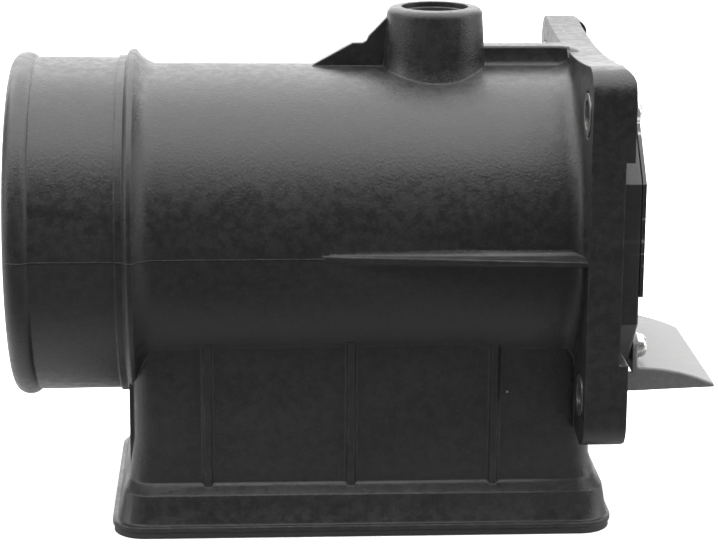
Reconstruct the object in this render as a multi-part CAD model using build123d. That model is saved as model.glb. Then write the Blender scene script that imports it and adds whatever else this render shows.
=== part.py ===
from build123d import *
import math
import os

# Mass airflow sensor of the vortex-counting kind, in millimetres.
# Origin: centre of the inlet flange's mounting face, on the duct axis.
# +X points out of the inlet, towards the air cleaner; +Z is up; the electronics box hangs below.

# ---- duct and outlet spigot: radii are measured from the duct axis
duct_radius = 38.5
duct_wall = 3.0
duct_draft_rise = 0.7          # the tube is this much larger at the collar than at its middle
inlet_end_rise = 1.7           # thickened ring of tube behind the flange
inlet_end_length = 20.7
inlet_end_cone = 5.6
collar_end_x = -109.7
collar_height = 3.4
collar_crest = 2.6
collar_fall = 4.5
spigot_radius = 40.1
spigot_wall = 3.1
spigot_length = 25.4           # collar face to lip
bead_height = 1.4
bead_fall = 2.4
bead_nose = 4.2
bead_nose_drop = 3.5

# ---- inlet flange
flange_thickness = 10.5
flange_half_width = 46.3
flange_half_height = 43.6
flange_corner = 6.0
flange_root_radius = 3.0
pad_height = 2.0               # corner pads stand this far in front of the flange's recessed face
pad_inner_y = 33.0
pad_inner_z = 23.6
flange_top_bevel = 3.3
flange_bevel_depth = 2.0
bolt_spacing_y = 76.0
bolt_spacing_z = 66.0
bolt_hole_radius = 3.4
sleeve_wall = 1.6
sleeve_stand = 0.3
spot_face_radius = 6.4
spot_face_depth = 0.8

# ---- side fins and top boss
fin_start_x = -70.4
fin_thickness = 1.8
fin_reach = 45.4
boss_x = -41.7
boss_top_z = 52.8
boss_foot_radius = 12.5
boss_top_radius = 11.7
boss_edge_round = 1.8
boss_bore_radius = 8.0
boss_bore_depth = 9.0
web_thickness = 5.6
web_top_z = 44.1
gusset_thickness = 2.6

# ---- electronics box
box_left_x = -114.1
box_right_x = -5.4
box_half_width = 31.2
box_corner = 2.8
box_wall = 2.6
box_wall_top_z = -15.0         # the side walls end inside the tube
cavity_top_z = -20.0
box_ledge_z = -57.4            # shoulder where the skirt starts
ledge_drop = 1.8
skirt_half_width = 34.3
skirt_flare = 0.9
skirt_corner = 6.5
rim_top_z = -64.8
rim_height = 1.6
rim_half_width = 36.4
rim_left_x = -119.0
rim_right_x = -0.3
rim_corner = 8.0
left_flare_z = -46.0
right_flare_z = -51.0
side_rib_width = 2.1
side_rib_height = 1.0
side_rib_top_z = -20.8
side_rib_pitch = 33.65
side_rib_middle_x = -62.6
end_rib_y = 23.5
end_rib_top_z = -28.0

# ---- bottom cover
cover_thickness = 1.6
cover_step = 0.4
tongue_height = 2.6
tongue_wall = 1.4
tongue_gap = 0.3
sealant_width = 1.8
sealant_inset = 1.2
sealant_depth = 0.7

# ---- inlet frame and what it holds
frame_half_width = 36.6
frame_corner_leg = 20.0
frame_front_x = 3.6
frame_depth = 8.0              # how far the frame's round sleeve reaches into the bore
bore_gap = 0.3
window_half_width = 29.0
window_half_height = 23.6
window_corner_leg = 8.0
core_stop = 1.0                # ledge that stops the honeycomb at the back
core_stop_thickness = 1.2
cell_pitch = 5.0
cell_wall = 0.45
core_rim = 0.8
core_gap = 0.1
retainer_thickness = 0.9
retainer_bottom_z = -10.0
retainer_lip = 1.2             # how far the retainer covers the honeycomb's edge

# ---- screws of the inlet
upper_screw_y = 15.2
upper_screw_z = 29.4
lower_screw_y = 19.8
lower_screw_z = -26.4
screw_radius = 1.45
screw_length = 19.0
screw_head_radius = 2.8
screw_head_height = 1.9
screw_clearance = 0.2
screw_post_radius = 3.8
screw_post_length = 10.0
screw_post_web = 2.4
screw_recess_depth = 0.9
screw_recess_width = 0.7
washer_radius = 3.05
washer_thickness = 0.8

# ---- air deflector
deflector_half_width = 25.2
deflector_sheet = 1.3
deflector_tip_x = 24.4
deflector_tip_z = -34.6
deflector_bottom_z = -36.1
deflector_tip_thickness = 0.7
deflector_shoulder_z = -30.4
deflector_crown_z = -31.5
deflector_bend = 0.9
deflector_edge_round = 0.7
deflector_tab_top_z = -22.9
deflector_tab_seat = 1.0       # raised seats on the frame under the deflector's tab
cheek_back_x = -1.6
cheek_back_top_z = -31.6
tab_corner = 3.5

# ---- measuring passage
passage_gap = 2.5              # from the back of the frame to the passage's mouth
passage_length = 50.0
passage_half_width = 15.0
passage_half_height = 25.0
passage_wall = 1.8
passage_corner = 4.0
passage_web = 2.2
column_inset = 10.5            # passage mouth to the vortex column's flat face
column_width = 8.0
column_depth = 6.0
plate_gap = 8.0                # from the vortex column's edge to the amplifying plate
plate_width = 6.4
plate_depth = 4.0
peg_radius = 1.4
peg_gap = 0.1

# ---- pressure lines, probe, bypass
port_x = -46.0
port_y = 6.5
port_radius = 1.0
pressure_tube_radius = 2.3
tube_hole_gap = 0.3
probe_x = -88.0
probe_y = 12.0
probe_radius = 3.6
probe_collar_radius = 5.6
probe_top_z = -17.0
probe_wall = 0.9
probe_collar_height = 2.2
cage_height = 7.0
cage_crown = 1.9
lead_radius = 0.45
bead_radius = 1.3
bypass_drill_radius = 3.0
needle_radius = 4.4
needle_gap = 0.3
needle_head_radius = 5.6
needle_head_height = 2.4
needle_slot = 1.2
seal_drop = 2.0                # O-ring below the boss bore's floor
seal_section_radius = 0.9
seal_gap = 0.05
plug_thickness = 2.2
plug_depth = 1.6               # top of the plug below the top of the boss
plug_edge = 1.3
plug_dish = 1.0

# ---- circuit board and connector
board_top_z = -50.4
board_thickness = 1.6
board_left_x = -107.0
board_right_x = -13.0
board_half_width = 25.6
board_post_radius = 3.6
board_post_inset = 5.0
board_screw_radius = 1.2
board_screw_length = 7.0
board_screw_head_radius = 2.4
board_screw_head_height = 1.5
transducer_length = 16.0
transducer_width = 22.0
transducer_height = 6.0
barometer_x = -74.5
barometer_y = -12.5
barometer_width = 11.0
barometer_height = 4.2
chip_places = ((-28, -12, 14, 10), (-29, 6, 10, 7), (-98, -8, 9, 12))   # x, y, length, width
chip_height = 2.2
can_places = ((-84, 14), (-73, 14), (-24, 14))
can_radius = 3.6
can_height = 6.5
connector_x = -62.0
connector_z = -40.6
connector_width = 36.0
connector_height = 17.6
connector_wall = 2.2
connector_reach = 18.0
connector_floor = 3.0
terminal_pitch = 6.6
terminal_row_gap = 6.0
terminal_width = 2.2
terminal_thickness = 0.8
terminal_tip = 5.0             # blade tips below the connector's face
terminal_leg_inset = 6.5       # board holes in from the box's inner wall
terminal_leg_stagger = 2.5
insert_gap = 0.05

# ---- places that follow from the sizes above
recess_x = -pad_height
flange_back_x = -flange_thickness
bore_radius = duct_radius - duct_wall
spigot_bore_radius = spigot_radius - spigot_wall
collar_face_x = collar_end_x - collar_fall - collar_crest
lip_x = collar_face_x - spigot_length
rim_bottom_z = rim_top_z - rim_height
base_z = rim_bottom_z - cover_thickness
sleeve_radius = bolt_hole_radius + sleeve_wall
board_bottom_z = board_top_z - board_thickness
frame_back_x = recess_x - frame_depth
passage_inlet_x = frame_back_x - passage_gap
passage_outlet_x = passage_inlet_x - passage_length
column_x = passage_inlet_x - column_inset
seal_middle_radius = needle_radius + needle_gap - seal_gap - seal_section_radius
deflector_seat_x = frame_front_x + deflector_tab_seat
box_middle_x = (box_left_x + box_right_x) / 2
cavity_half_width = box_half_width - box_wall
connector_face_y = box_half_width + connector_reach
plug_bottom_z = boss_top_z - plug_depth - plug_thickness
boss_bore_floor_z = boss_top_z - boss_bore_depth
bolt_points = [
    (side * bolt_spacing_y / 2, level * bolt_spacing_z / 2) for side in (-1, 1) for level in (-1, 1)
]
upper_screw_points = [(side * upper_screw_y, upper_screw_z) for side in (-1, 1)]
lower_screw_points = [(side * lower_screw_y, lower_screw_z) for side in (-1, 1)]
board_post_points = [
    (x, side * (board_half_width - board_post_inset))
    for x in (board_left_x + board_post_inset, board_right_x - board_post_inset)
    for side in (-1, 1)
]


def block(x0, x1, y0, y1, z0, z1):
    """Plain block between two corners."""
    middle = ((x0 + x1) / 2, (y0 + y1) / 2, (z0 + z1) / 2)
    return Pos(*middle) * Box(abs(x1 - x0), abs(y1 - y0), abs(z1 - z0))


def rod_x(x0, x1, radius, y=0.0, z=0.0):
    """Cylinder along X."""
    return Pos((x0 + x1) / 2, y, z) * Rot(0, 90, 0) * Cylinder(radius, abs(x1 - x0))


def rod_z(z0, z1, radius, x=0.0, y=0.0):
    """Cylinder along Z."""
    return Pos(x, y, (z0 + z1) / 2) * Cylinder(radius, abs(z1 - z0))


def turned_x(face):
    """Solid of revolution about the duct axis, from a face in the XZ plane."""
    return revolve(face, Axis.X, 360)


def plan_outline(z, x0, x1, half_width, corner):
    """Rounded rectangle lying at height z."""
    plane = Plane.XY.offset(z)
    return plane * Pos((x0 + x1) / 2, 0) * RectangleRounded(x1 - x0, 2 * half_width, corner)


def plan_block(z0, z1, x0, x1, half_width, corner):
    """Upright block with rounded corners in plan."""
    return extrude(plan_outline(z0, x0, x1, half_width, corner), z1 - z0, dir=(0, 0, 1))


def cut_corner_outline(half_width, half_height, leg):
    """Rectangle with its four corners cut at 45 degrees, in the YZ plane."""
    points = [
        (half_width, half_height - leg),
        (half_width - leg, half_height),
        (leg - half_width, half_height),
        (-half_width, half_height - leg),
        (-half_width, leg - half_height),
        (leg - half_width, -half_height),
        (half_width - leg, -half_height),
        (half_width, leg - half_height),
    ]
    return make_face(Polyline(*points, close=True))


def along_x(face, x0, x1):
    """Sketch drawn with Y to the right and Z up, extruded from x0 to x1."""
    return extrude(Plane.YZ.offset(x0) * face, x1 - x0, dir=(1, 0, 0))


def across_y(points, y0, y1):
    """Closed outline of (x, z) points, extruded from y0 to y1."""
    face = make_face(Polyline(*[(x, 0, z) for x, z in points], close=True))
    return extrude(Pos(0, y0, 0) * face, y1 - y0, dir=(0, 1, 0))


# ---------------------------------------------------------------- sensor body
def duct_profile():
    """Outer half-profile of spigot, collar and tube, down to the axis."""
    crest_x = lip_x + bead_nose
    crest_radius = spigot_radius + bead_height
    lip_radius = crest_radius - bead_nose_drop
    collar_top = spigot_radius + collar_height - 1.6
    slope_x = collar_face_x + collar_crest
    tube_start = duct_radius + duct_draft_rise
    ring_x = flange_back_x - inlet_end_length
    ring_radius = duct_radius + inlet_end_rise
    root_x = flange_back_x - flange_root_radius
    root_radius = ring_radius + flange_root_radius
    nose = EllipticalCenterArc(
        (crest_x, lip_radius), bead_nose, bead_nose_drop, start_angle=90, arc_size=90
    )
    shoulder = EllipticalCenterArc(
        (crest_x, spigot_radius), bead_fall, bead_height, start_angle=0, arc_size=90
    )
    collar = Polyline(
        (crest_x + bead_fall, spigot_radius),
        (collar_face_x, spigot_radius - 0.2),
        (collar_face_x, collar_top - 0.3),
        (collar_face_x + 0.3, collar_top),
        (slope_x, collar_top),
    )
    fall = ThreePointArc(
        (slope_x, collar_top),
        (slope_x + 0.38 * collar_fall, tube_start + 0.32 * (collar_top - tube_start)),
        (collar_end_x, tube_start),
    )
    tube = Polyline(
        (collar_end_x, tube_start),
        (ring_x - inlet_end_cone, duct_radius),
        (ring_x, ring_radius),
        (root_x, ring_radius),
    )
    root = RadiusArc((root_x, ring_radius), (flange_back_x, root_radius), flange_root_radius)
    closing = Polyline(
        (flange_back_x, root_radius),
        (recess_x, root_radius),
        (recess_x, 0),
        (lip_x, 0),
        (lip_x, lip_radius),
    )
    return make_face(Plane.XZ * (nose + shoulder + collar + fall + tube + root + closing))


def duct_bore():
    """Straight bore that opens into the wider spigot bore, with a rounded lip."""
    lead = 1.0
    step_x = collar_face_x + collar_crest
    points = [
        (1, 0),
        (1, bore_radius),
        (step_x, bore_radius),
        (step_x - 4, spigot_bore_radius),
        (lip_x + lead, spigot_bore_radius),
        (lip_x - 0.01, spigot_bore_radius + 0.5 * lead),
        (lip_x - 1, spigot_bore_radius + 0.5 * lead),
        (lip_x - 1, 0),
    ]
    return turned_x(make_face(Plane.XZ * Polyline(*points, close=True)))


def flange_plate():
    """Square flange with rounded corners, bevelled top and bottom edges and four corner pads."""
    outline = RectangleRounded(2 * flange_half_width, 2 * flange_half_height, flange_corner)
    plate = along_x(outline, flange_back_x, 0)
    high = flange_half_height
    side = [
        (flange_back_x - 1, -high - 1),
        (-0.45 * flange_bevel_depth, -high - 1),
        (-0.45 * flange_bevel_depth, -high),
        (0, flange_top_bevel - high),
        (0, high - flange_top_bevel),
        (-flange_bevel_depth, high),
        (-flange_bevel_depth, high + 1),
        (flange_back_x - 1, high + 1),
    ]
    plate = plate & across_y(side, -flange_half_width - 1, flange_half_width + 1)
    plate -= block(recess_x, 1, -flange_half_width - 1, flange_half_width + 1, -pad_inner_z, pad_inner_z)
    plate -= block(recess_x, 1, -pad_inner_y, pad_inner_y, -high - 1, high + 1)
    return plate


def box_shell():
    """Electronics box: upright walls, flared ends, sloping ledge, skirt and bottom rim."""
    walls = plan_block(box_ledge_z - 1, box_wall_top_z, box_left_x, box_right_x, box_half_width, box_corner)
    skirt_left = box_left_x + (rim_left_x - box_left_x) * 0.6
    skirt_right = box_right_x + (rim_right_x - box_right_x) * 0.6
    ledge = loft(
        [
            plan_outline(box_ledge_z + ledge_drop, box_left_x, box_right_x, box_half_width, box_corner),
            plan_outline(box_ledge_z, skirt_left, skirt_right, skirt_half_width, skirt_corner),
        ]
    )
    skirt_foot = skirt_half_width + skirt_flare
    foot_left = rim_left_x + 0.8
    foot_right = rim_right_x - 0.8
    skirt = loft(
        [
            plan_outline(box_ledge_z, skirt_left, skirt_right, skirt_half_width, skirt_corner),
            plan_outline(rim_top_z, foot_left, foot_right, skirt_foot, skirt_corner + 1),
        ]
    )
    rim = plan_block(rim_bottom_z, rim_top_z, rim_left_x, rim_right_x, rim_half_width, rim_corner)
    left_flare = end_flare(box_left_x, foot_left, left_flare_z)
    right_flare = end_flare(box_right_x, foot_right, right_flare_z)
    return walls + ledge + skirt + rim + left_flare + right_flare


def end_flare(wall_x, foot_x, start_z):
    """End of the box, leaning out from the upright wall to the rim."""
    inner_x = box_middle_x
    sections = []
    for z, x in ((start_z, wall_x), (rim_top_z, foot_x)):
        low, high = min(inner_x, x), max(inner_x, x)
        sections.append(plan_outline(z, low, high, box_half_width, box_corner))
    return loft(sections)


def box_ribs():
    """Upright stiffening ribs: three on each side wall and two on each end wall."""
    ribs = []
    outer = box_half_width + side_rib_height
    foot_z = box_ledge_z - 0.6
    for step in (-1, 0, 1):
        x = side_rib_middle_x + step * side_rib_pitch
        for side in (-1, 1):
            inner_y, outer_y = sorted((side * (box_half_width - 2), side * outer))
            rib = block(
                x - side_rib_width / 2, x + side_rib_width / 2, inner_y, outer_y, foot_z, side_rib_top_z
            )
            ribs.append(rib)
    for side in (-1, 1):
        y = side * end_rib_y
        low_y, high_y = y - side_rib_width / 2, y + side_rib_width / 2
        left = block(
            box_left_x - side_rib_height, box_left_x + 1, low_y, high_y, box_ledge_z + 4, end_rib_top_z
        )
        ribs.append(left)
    return ribs


def box_cavity():
    """Room for the electronics; the tube's underside is its roof."""
    x0, x1 = box_left_x + box_wall, box_right_x - box_wall
    room = plan_block(box_ledge_z - 2, cavity_top_z, x0, x1, cavity_half_width, box_corner - 1)
    mouth = plan_block(
        rim_bottom_z - 1, box_ledge_z - 1.5, x0 - 1.2, x1 + 1.2, skirt_half_width - box_wall, box_corner
    )
    return room + mouth - rod_x(lip_x, 0, duct_radius)


def side_fins():
    """Level fins on both sides of the tube, widening towards the flange."""
    fins = []
    for side in (-1, 1):
        points = [
            (fin_start_x, side * duct_radius - side * 0.2),
            (flange_back_x + 1, side * fin_reach),
            (flange_back_x + 1, side * (duct_radius - 2)),
            (fin_start_x, side * (duct_radius - 2)),
        ]
        face = make_face(Polyline(*points, close=True))
        fins.append(extrude(Pos(0, 0, -fin_thickness / 2) * face, fin_thickness, dir=(0, 0, 1)))
    return fins


def top_boss():
    """Tapered round boss for the bypass adjuster, with its web and its stepped gusset."""
    foot_z = duct_radius - duct_wall + 0.5
    taper = Pos(boss_x, 0, (foot_z + boss_top_z) / 2) * Cone(
        boss_foot_radius, boss_top_radius, boss_top_z - foot_z
    )
    boss = fillet(taper.edges().sort_by(Axis.Z)[-1], boss_edge_round)
    web = block(boss_x, flange_back_x + 1, -web_thickness / 2, web_thickness / 2, foot_z, web_top_z)
    web = fillet(web.edges().filter_by(Axis.X).group_by(Axis.Z)[-1], 0.9)
    step_x = boss_x - boss_top_radius
    gusset = across_y(
        [
            (fin_start_x - 0.4, duct_radius + 0.2),
            (step_x - 8.4, web_top_z + 0.3),
            (step_x - 6.0, web_top_z + 0.4),
            (step_x - 5.1, web_top_z + 0.8),
            (step_x - 4.5, web_top_z + 2.3),
            (step_x + 0.4, boss_top_z - 3.3),
            (boss_x, boss_top_z - 3.3),
            (boss_x, foot_z),
            (fin_start_x - 0.4, foot_z),
        ],
        -gusset_thickness / 2,
        gusset_thickness / 2,
    )
    return boss + web + gusset


def connector_shroud():
    """Outside of the connector socket on the far side wall, with its latch ramp."""
    outline = RectangleRounded(connector_width, connector_height, 2.5)
    plane = Plane(origin=(connector_x, connector_face_y, connector_z), x_dir=(1, 0, 0), z_dir=(0, 1, 0))
    length = connector_face_y - cavity_half_width
    shroud = extrude(plane * outline, -length)
    top_z = connector_z + connector_height / 2
    latch = Polyline(
        (connector_x, connector_face_y - 3, top_z - 0.5),
        (connector_x, connector_face_y - 3, top_z + 0.6),
        (connector_x, connector_face_y - 8, top_z + 2.2),
        (connector_x, connector_face_y - 8, top_z - 0.5),
        close=True,
    )
    return shroud + extrude(Pos(-4, 0, 0) * make_face(latch), 8, dir=(1, 0, 0))


def connector_socket():
    """Hollow of the connector, open at its face."""
    outline = RectangleRounded(
        connector_width - 2 * connector_wall, connector_height - 2 * connector_wall, 1.4
    )
    plane = Plane(origin=(connector_x, connector_face_y + 1, connector_z), x_dir=(1, 0, 0), z_dir=(0, 1, 0))
    depth = connector_reach - connector_floor + box_wall + 1
    return extrude(plane * outline, -depth)


def terminal_places():
    """X, Z and board-leg Y of each of the eight blades."""
    places = []
    for row in (-1, 1):
        for column in (-1.5, -0.5, 0.5, 1.5):
            x = connector_x + column * terminal_pitch
            z = connector_z + row * terminal_row_gap / 2
            leg_y = cavity_half_width - terminal_leg_inset - terminal_leg_stagger * row
            places.append((x, z, leg_y))
    return places


def terminal_blades(grow):
    """Blades as solids, grown by a gap for the slots they pass through."""
    blades = []
    for x, z, leg_y in terminal_places():
        half_width = terminal_width / 2 + grow
        half_thick = terminal_thickness / 2 + grow
        blades.append(
            block(
                x - half_width,
                x + half_width,
                leg_y - half_thick,
                connector_face_y - terminal_tip,
                z - half_thick,
                z + half_thick,
            )
        )
    return blades


def sensor_body():
    body = turned_x(duct_profile()) + flange_plate() + box_shell()
    for piece in box_ribs() + side_fins():
        body += piece
    body += top_boss() + connector_shroud()
    body -= box_cavity()
    body -= duct_bore()
    for y, z in upper_screw_points + lower_screw_points:
        x0, x1 = frame_back_x - screw_post_length, frame_back_x - bore_gap
        half_web = screw_post_web / 2
        low_z, high_z = sorted((z, math.copysign(bore_radius, z)))
        post = rod_x(x0, x1, screw_post_radius, y, z)
        web = block(x0, x1, y - half_web, y + half_web, low_z, high_z)
        body += (post + web) & rod_x(lip_x, 0, bore_radius + 0.5)
    for y, z in upper_screw_points + lower_screw_points:
        body -= rod_x(frame_back_x - screw_post_length + 1.5, frame_back_x, screw_radius, y, z)
    for y, z in bolt_points:
        body -= rod_x(flange_back_x - 1, 1, sleeve_radius + insert_gap, y, z)
        body -= rod_x(flange_back_x - 1, flange_back_x + spot_face_depth, spot_face_radius, y, z)
    body -= rod_z(boss_bore_floor_z, boss_top_z + 1, boss_bore_radius, boss_x)
    body -= rod_z(bore_radius + 2.5, boss_bore_floor_z + 1, needle_radius + needle_gap, boss_x)
    body -= rod_z(0, bore_radius + 3, bypass_drill_radius, boss_x)
    for side in (-1, 1):
        hole = pressure_tube_radius + tube_hole_gap
        body -= rod_z(-duct_radius - 1, -bore_radius + 2, hole, port_x, side * port_y)
    body -= rod_z(-duct_radius - 1, -bore_radius / 2, probe_radius + tube_hole_gap, probe_x, probe_y)
    for x, y in board_post_points:
        post = rod_z(board_top_z, -duct_radius + 12, board_post_radius, x, y)
        body += post - rod_x(lip_x, 0, bore_radius + duct_wall / 2)
        body -= rod_z(board_top_z - 1, board_top_z + board_screw_length, board_screw_radius, x, y)
    body -= connector_socket()
    for slot in terminal_blades(insert_gap):
        body -= slot
    return body


# ---------------------------------------------------------------- flange sleeves
def flange_sleeves():
    """Steel tubes that carry the flange bolts."""
    sleeves = []
    for y, z in bolt_points:
        tube = rod_x(flange_back_x + spot_face_depth - sleeve_stand, 0, sleeve_radius, y, z)
        sleeves.append(tube - rod_x(flange_back_x - 1, 1, bolt_hole_radius, y, z))
    return sleeves


# ---------------------------------------------------------------- inlet frame and honeycomb
def inlet_frame():
    """Eight-sided frame that closes the bore and holds the honeycomb."""
    collar = along_x(
        cut_corner_outline(frame_half_width, frame_half_width, frame_corner_leg), recess_x, frame_front_x
    )
    collar = fillet(collar.faces().sort_by(Axis.X)[-1].edges(), 0.6)
    frame = collar + rod_x(frame_back_x, recess_x + 1, bore_radius - bore_gap)
    for y, z in lower_screw_points:
        frame += rod_x(frame_front_x - 1, deflector_seat_x, screw_head_radius + 0.6, y, z)
    window = cut_corner_outline(window_half_width, window_half_height, window_corner_leg)
    frame -= along_x(window, frame_back_x + core_stop_thickness, deflector_seat_x + 1)
    back = cut_corner_outline(
        window_half_width - core_stop, window_half_height - core_stop, window_corner_leg
    )
    frame -= along_x(back, frame_back_x - 1, frame_front_x)
    for y, z in upper_screw_points + lower_screw_points:
        frame -= rod_x(frame_back_x - 1, deflector_seat_x + 1, screw_radius + screw_clearance, y, z)
    return frame


def honeycomb():
    """Flow straightener: a rimmed block of six-sided cells."""
    half_width = window_half_width - core_gap
    half_height = window_half_height - core_gap
    back_x = frame_back_x + core_stop_thickness
    core = along_x(cut_corner_outline(half_width, half_height, window_corner_leg), back_x, frame_front_x)
    inner = cut_corner_outline(half_width - core_rim, half_height - core_rim, window_corner_leg)
    cell = RegularPolygon((cell_pitch - cell_wall) / 2, 6, major_radius=False, rotation=30)
    row_step = cell_pitch * math.sqrt(3) / 2
    rows = int(half_height / row_step) + 1
    columns = int(half_width / cell_pitch) + 1
    least_area = 0.25 * cell_pitch * cell_pitch
    holes = []
    for row in range(-rows, rows + 1):
        shift = cell_pitch / 2 if row % 2 else 0
        for column in range(-columns - 1, columns + 1):
            place = Pos(column * cell_pitch + shift, row * row_step)
            clipped = (place * cell) & inner
            if clipped and clipped.area > least_area:
                holes.append(along_x(clipped.face(), back_x - 1, frame_front_x + 1))
    return core.cut(*holes)


def retainer_plate():
    """Thin plate over the upper part of the frame; it keeps the honeycomb in."""
    front_x = frame_front_x + retainer_thickness
    plate = along_x(
        cut_corner_outline(frame_half_width, frame_half_width, frame_corner_leg), frame_front_x, front_x
    )
    opening = cut_corner_outline(
        window_half_width - retainer_lip, window_half_height - retainer_lip, window_corner_leg
    )
    plate -= along_x(opening, frame_front_x - 1, front_x + 1)
    reach = frame_half_width + 1
    plate -= block(frame_front_x - 1, front_x + 1, -reach, reach, -reach, retainer_bottom_z)
    for y, z in upper_screw_points:
        plate -= rod_x(frame_front_x - 1, front_x + 1, screw_radius + screw_clearance, y, z)
    return plate


def pan_screw(seat_x, y, z):
    """Pan-head screw with a cross recess; its head sits on seat_x."""
    head = rod_x(seat_x, seat_x + screw_head_height, screw_head_radius, y, z)
    head = fillet(head.edges().sort_by(Axis.X)[-1], 0.75 * screw_head_height)
    shank = rod_x(seat_x - screw_length, seat_x, screw_radius - insert_gap, y, z)
    screw = head + shank
    top_x = seat_x + screw_head_height
    long = 0.55 * screw_head_radius
    short = screw_recess_width / 2
    for half_y, half_z in ((long, short), (short, long)):
        screw -= block(top_x - screw_recess_depth, top_x + 1, y - half_y, y + half_y, z - half_z, z + half_z)
    return screw


def retainer_screws():
    seat_x = frame_front_x + retainer_thickness
    return [pan_screw(seat_x, y, z) for y, z in upper_screw_points]


# ---------------------------------------------------------------- air deflector
def air_deflector():
    """Pressed ramp with side cheeks and a mounting tab that stands against the frame."""
    half = deflector_half_width
    sheet = deflector_sheet
    tab_front_x = deflector_seat_x + sheet
    bend_end_x = tab_front_x + deflector_bend
    middle_x = (bend_end_x + deflector_tip_x) / 2
    tip_bottom_z = deflector_tip_z - deflector_tip_thickness
    tab = Polyline(
        (deflector_tip_x, tip_bottom_z),
        (deflector_seat_x, deflector_bottom_z),
        (deflector_seat_x, deflector_tab_top_z),
        (tab_front_x, deflector_tab_top_z),
        (tab_front_x, deflector_shoulder_z + deflector_bend),
    )
    bend = RadiusArc(
        (tab_front_x, deflector_shoulder_z + deflector_bend),
        (bend_end_x, deflector_shoulder_z),
        -deflector_bend,
    )
    ramp = ThreePointArc(
        (bend_end_x, deflector_shoulder_z), (middle_x, deflector_crown_z), (deflector_tip_x, deflector_tip_z)
    )
    tip = Line((deflector_tip_x, deflector_tip_z), (deflector_tip_x, tip_bottom_z))
    section = make_face(Plane.XZ * (tab + bend + ramp + tip))
    outer = extrude(Pos(0, -half, 0) * section, 2 * half, dir=(0, 1, 0))
    top_edges = outer.edges().filter_by(lambda e: e.geom_type == GeomType.CIRCLE and e.length > sheet * 5)
    outer = fillet(top_edges, deflector_edge_round)
    height = 2 * (deflector_tab_top_z - deflector_bottom_z)
    front_view = Pos(0, deflector_tab_top_z - height / 2) * RectangleRounded(2 * half, height, tab_corner)
    outer = outer & along_x(front_view, deflector_seat_x, deflector_tip_x)
    for side in (-1, 1):
        y0, y1 = sorted((side * (half - sheet), side * half))
        cheek = [
            (cheek_back_x, deflector_bottom_z),
            (cheek_back_x, cheek_back_top_z),
            (deflector_seat_x + sheet, cheek_back_top_z),
            (deflector_seat_x + sheet, deflector_bottom_z),
        ]
        outer += across_y(cheek, y0, y1)
    hollow_end_x = deflector_tip_x - 2.5 * sheet
    under = Polyline(
        (hollow_end_x, 0, deflector_tip_z),
        (hollow_end_x, 0, deflector_bottom_z - 1),
        (cheek_back_x - 1, 0, deflector_bottom_z - 1),
        (cheek_back_x - 1, 0, deflector_shoulder_z - sheet),
        (bend_end_x, 0, deflector_shoulder_z - sheet),
    )
    ceiling = ThreePointArc(
        (bend_end_x, 0, deflector_shoulder_z - sheet),
        (middle_x, 0, deflector_crown_z - sheet),
        (hollow_end_x, 0, deflector_tip_z),
    )
    hollow = extrude(Pos(0, sheet - half, 0) * make_face(under + ceiling), 2 * (half - sheet), dir=(0, 1, 0))
    body = outer - hollow
    for y, z in lower_screw_points:
        body -= rod_x(0, deflector_tip_x, screw_radius + screw_clearance, y, z)
    return body


def deflector_washers():
    seat_x = deflector_seat_x + deflector_sheet
    washers = []
    for y, z in lower_screw_points:
        disc = rod_x(seat_x, seat_x + washer_thickness, washer_radius, y, z)
        washers.append(disc - rod_x(seat_x - 1, seat_x + 9, screw_radius + screw_clearance, y, z))
    return washers


def deflector_screws():
    seat_x = deflector_seat_x + deflector_sheet + washer_thickness
    return [pan_screw(seat_x, y, z) for y, z in lower_screw_points]


# ---------------------------------------------------------------- measuring passage
def measuring_duct():
    """Rectangular passage held in the bore by four webs."""
    outer = RectangleRounded(2 * passage_half_width, 2 * passage_half_height, passage_corner)
    inner = RectangleRounded(
        2 * (passage_half_width - passage_wall),
        2 * (passage_half_height - passage_wall),
        passage_corner - passage_wall,
    )
    webs_x0, webs_x1 = passage_outlet_x + 4, passage_inlet_x - screw_post_length
    upright = block(webs_x0, webs_x1, -passage_web / 2, passage_web / 2, -bore_radius, bore_radius)
    level = block(webs_x0, webs_x1, -bore_radius, bore_radius, -passage_web / 2, passage_web / 2)
    webs = (upright + level) & rod_x(webs_x0, webs_x1, bore_radius - bore_gap)
    duct = along_x(outer, passage_outlet_x, passage_inlet_x) + webs
    duct -= along_x(inner, passage_outlet_x - 1, passage_inlet_x + 1)
    duct -= rod_z(bore_radius, passage_half_height + 1, bypass_drill_radius, boss_x)
    reach = passage_half_height + 1
    for x in (column_x - column_depth / 2, plate_x()):
        duct -= rod_z(-reach, reach, peg_radius + peg_gap, x)
    for side in (-1, 1):
        duct -= rod_z(-reach, 0, port_radius, port_x, side * port_y)
    return duct


def plate_x():
    """Middle of the amplifying plate behind the vortex column."""
    return column_x - column_depth - plate_gap - plate_depth / 2


def bluff_body(points, peg_x):
    """Upright bar of the passage's full height, with a peg in each wall."""
    half = passage_half_height - passage_wall
    face = make_face(Polyline(*points, close=True))
    bar = extrude(Pos(0, 0, -half) * face, 2 * half, dir=(0, 0, 1))
    reach = passage_half_height
    return bar + rod_z(-reach, reach, peg_radius, peg_x)


def vortex_column():
    """Three-sided bar, flat face to the incoming air."""
    points = [
        (column_x, -column_width / 2),
        (column_x, column_width / 2),
        (column_x - 0.9, column_width / 2),
        (column_x - column_depth, 0.7),
        (column_x - column_depth, -0.7),
        (column_x - 0.9, -column_width / 2),
    ]
    return bluff_body(points, column_x - column_depth / 2)


def amplifying_plate():
    """Trapezoidal bar that strengthens the vortices."""
    front = plate_x() + plate_depth / 2
    points = [
        (front, -plate_width / 4),
        (front, plate_width / 4),
        (front - plate_depth, plate_width / 2),
        (front - plate_depth, -plate_width / 2),
    ]
    return bluff_body(points, plate_x())


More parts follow.
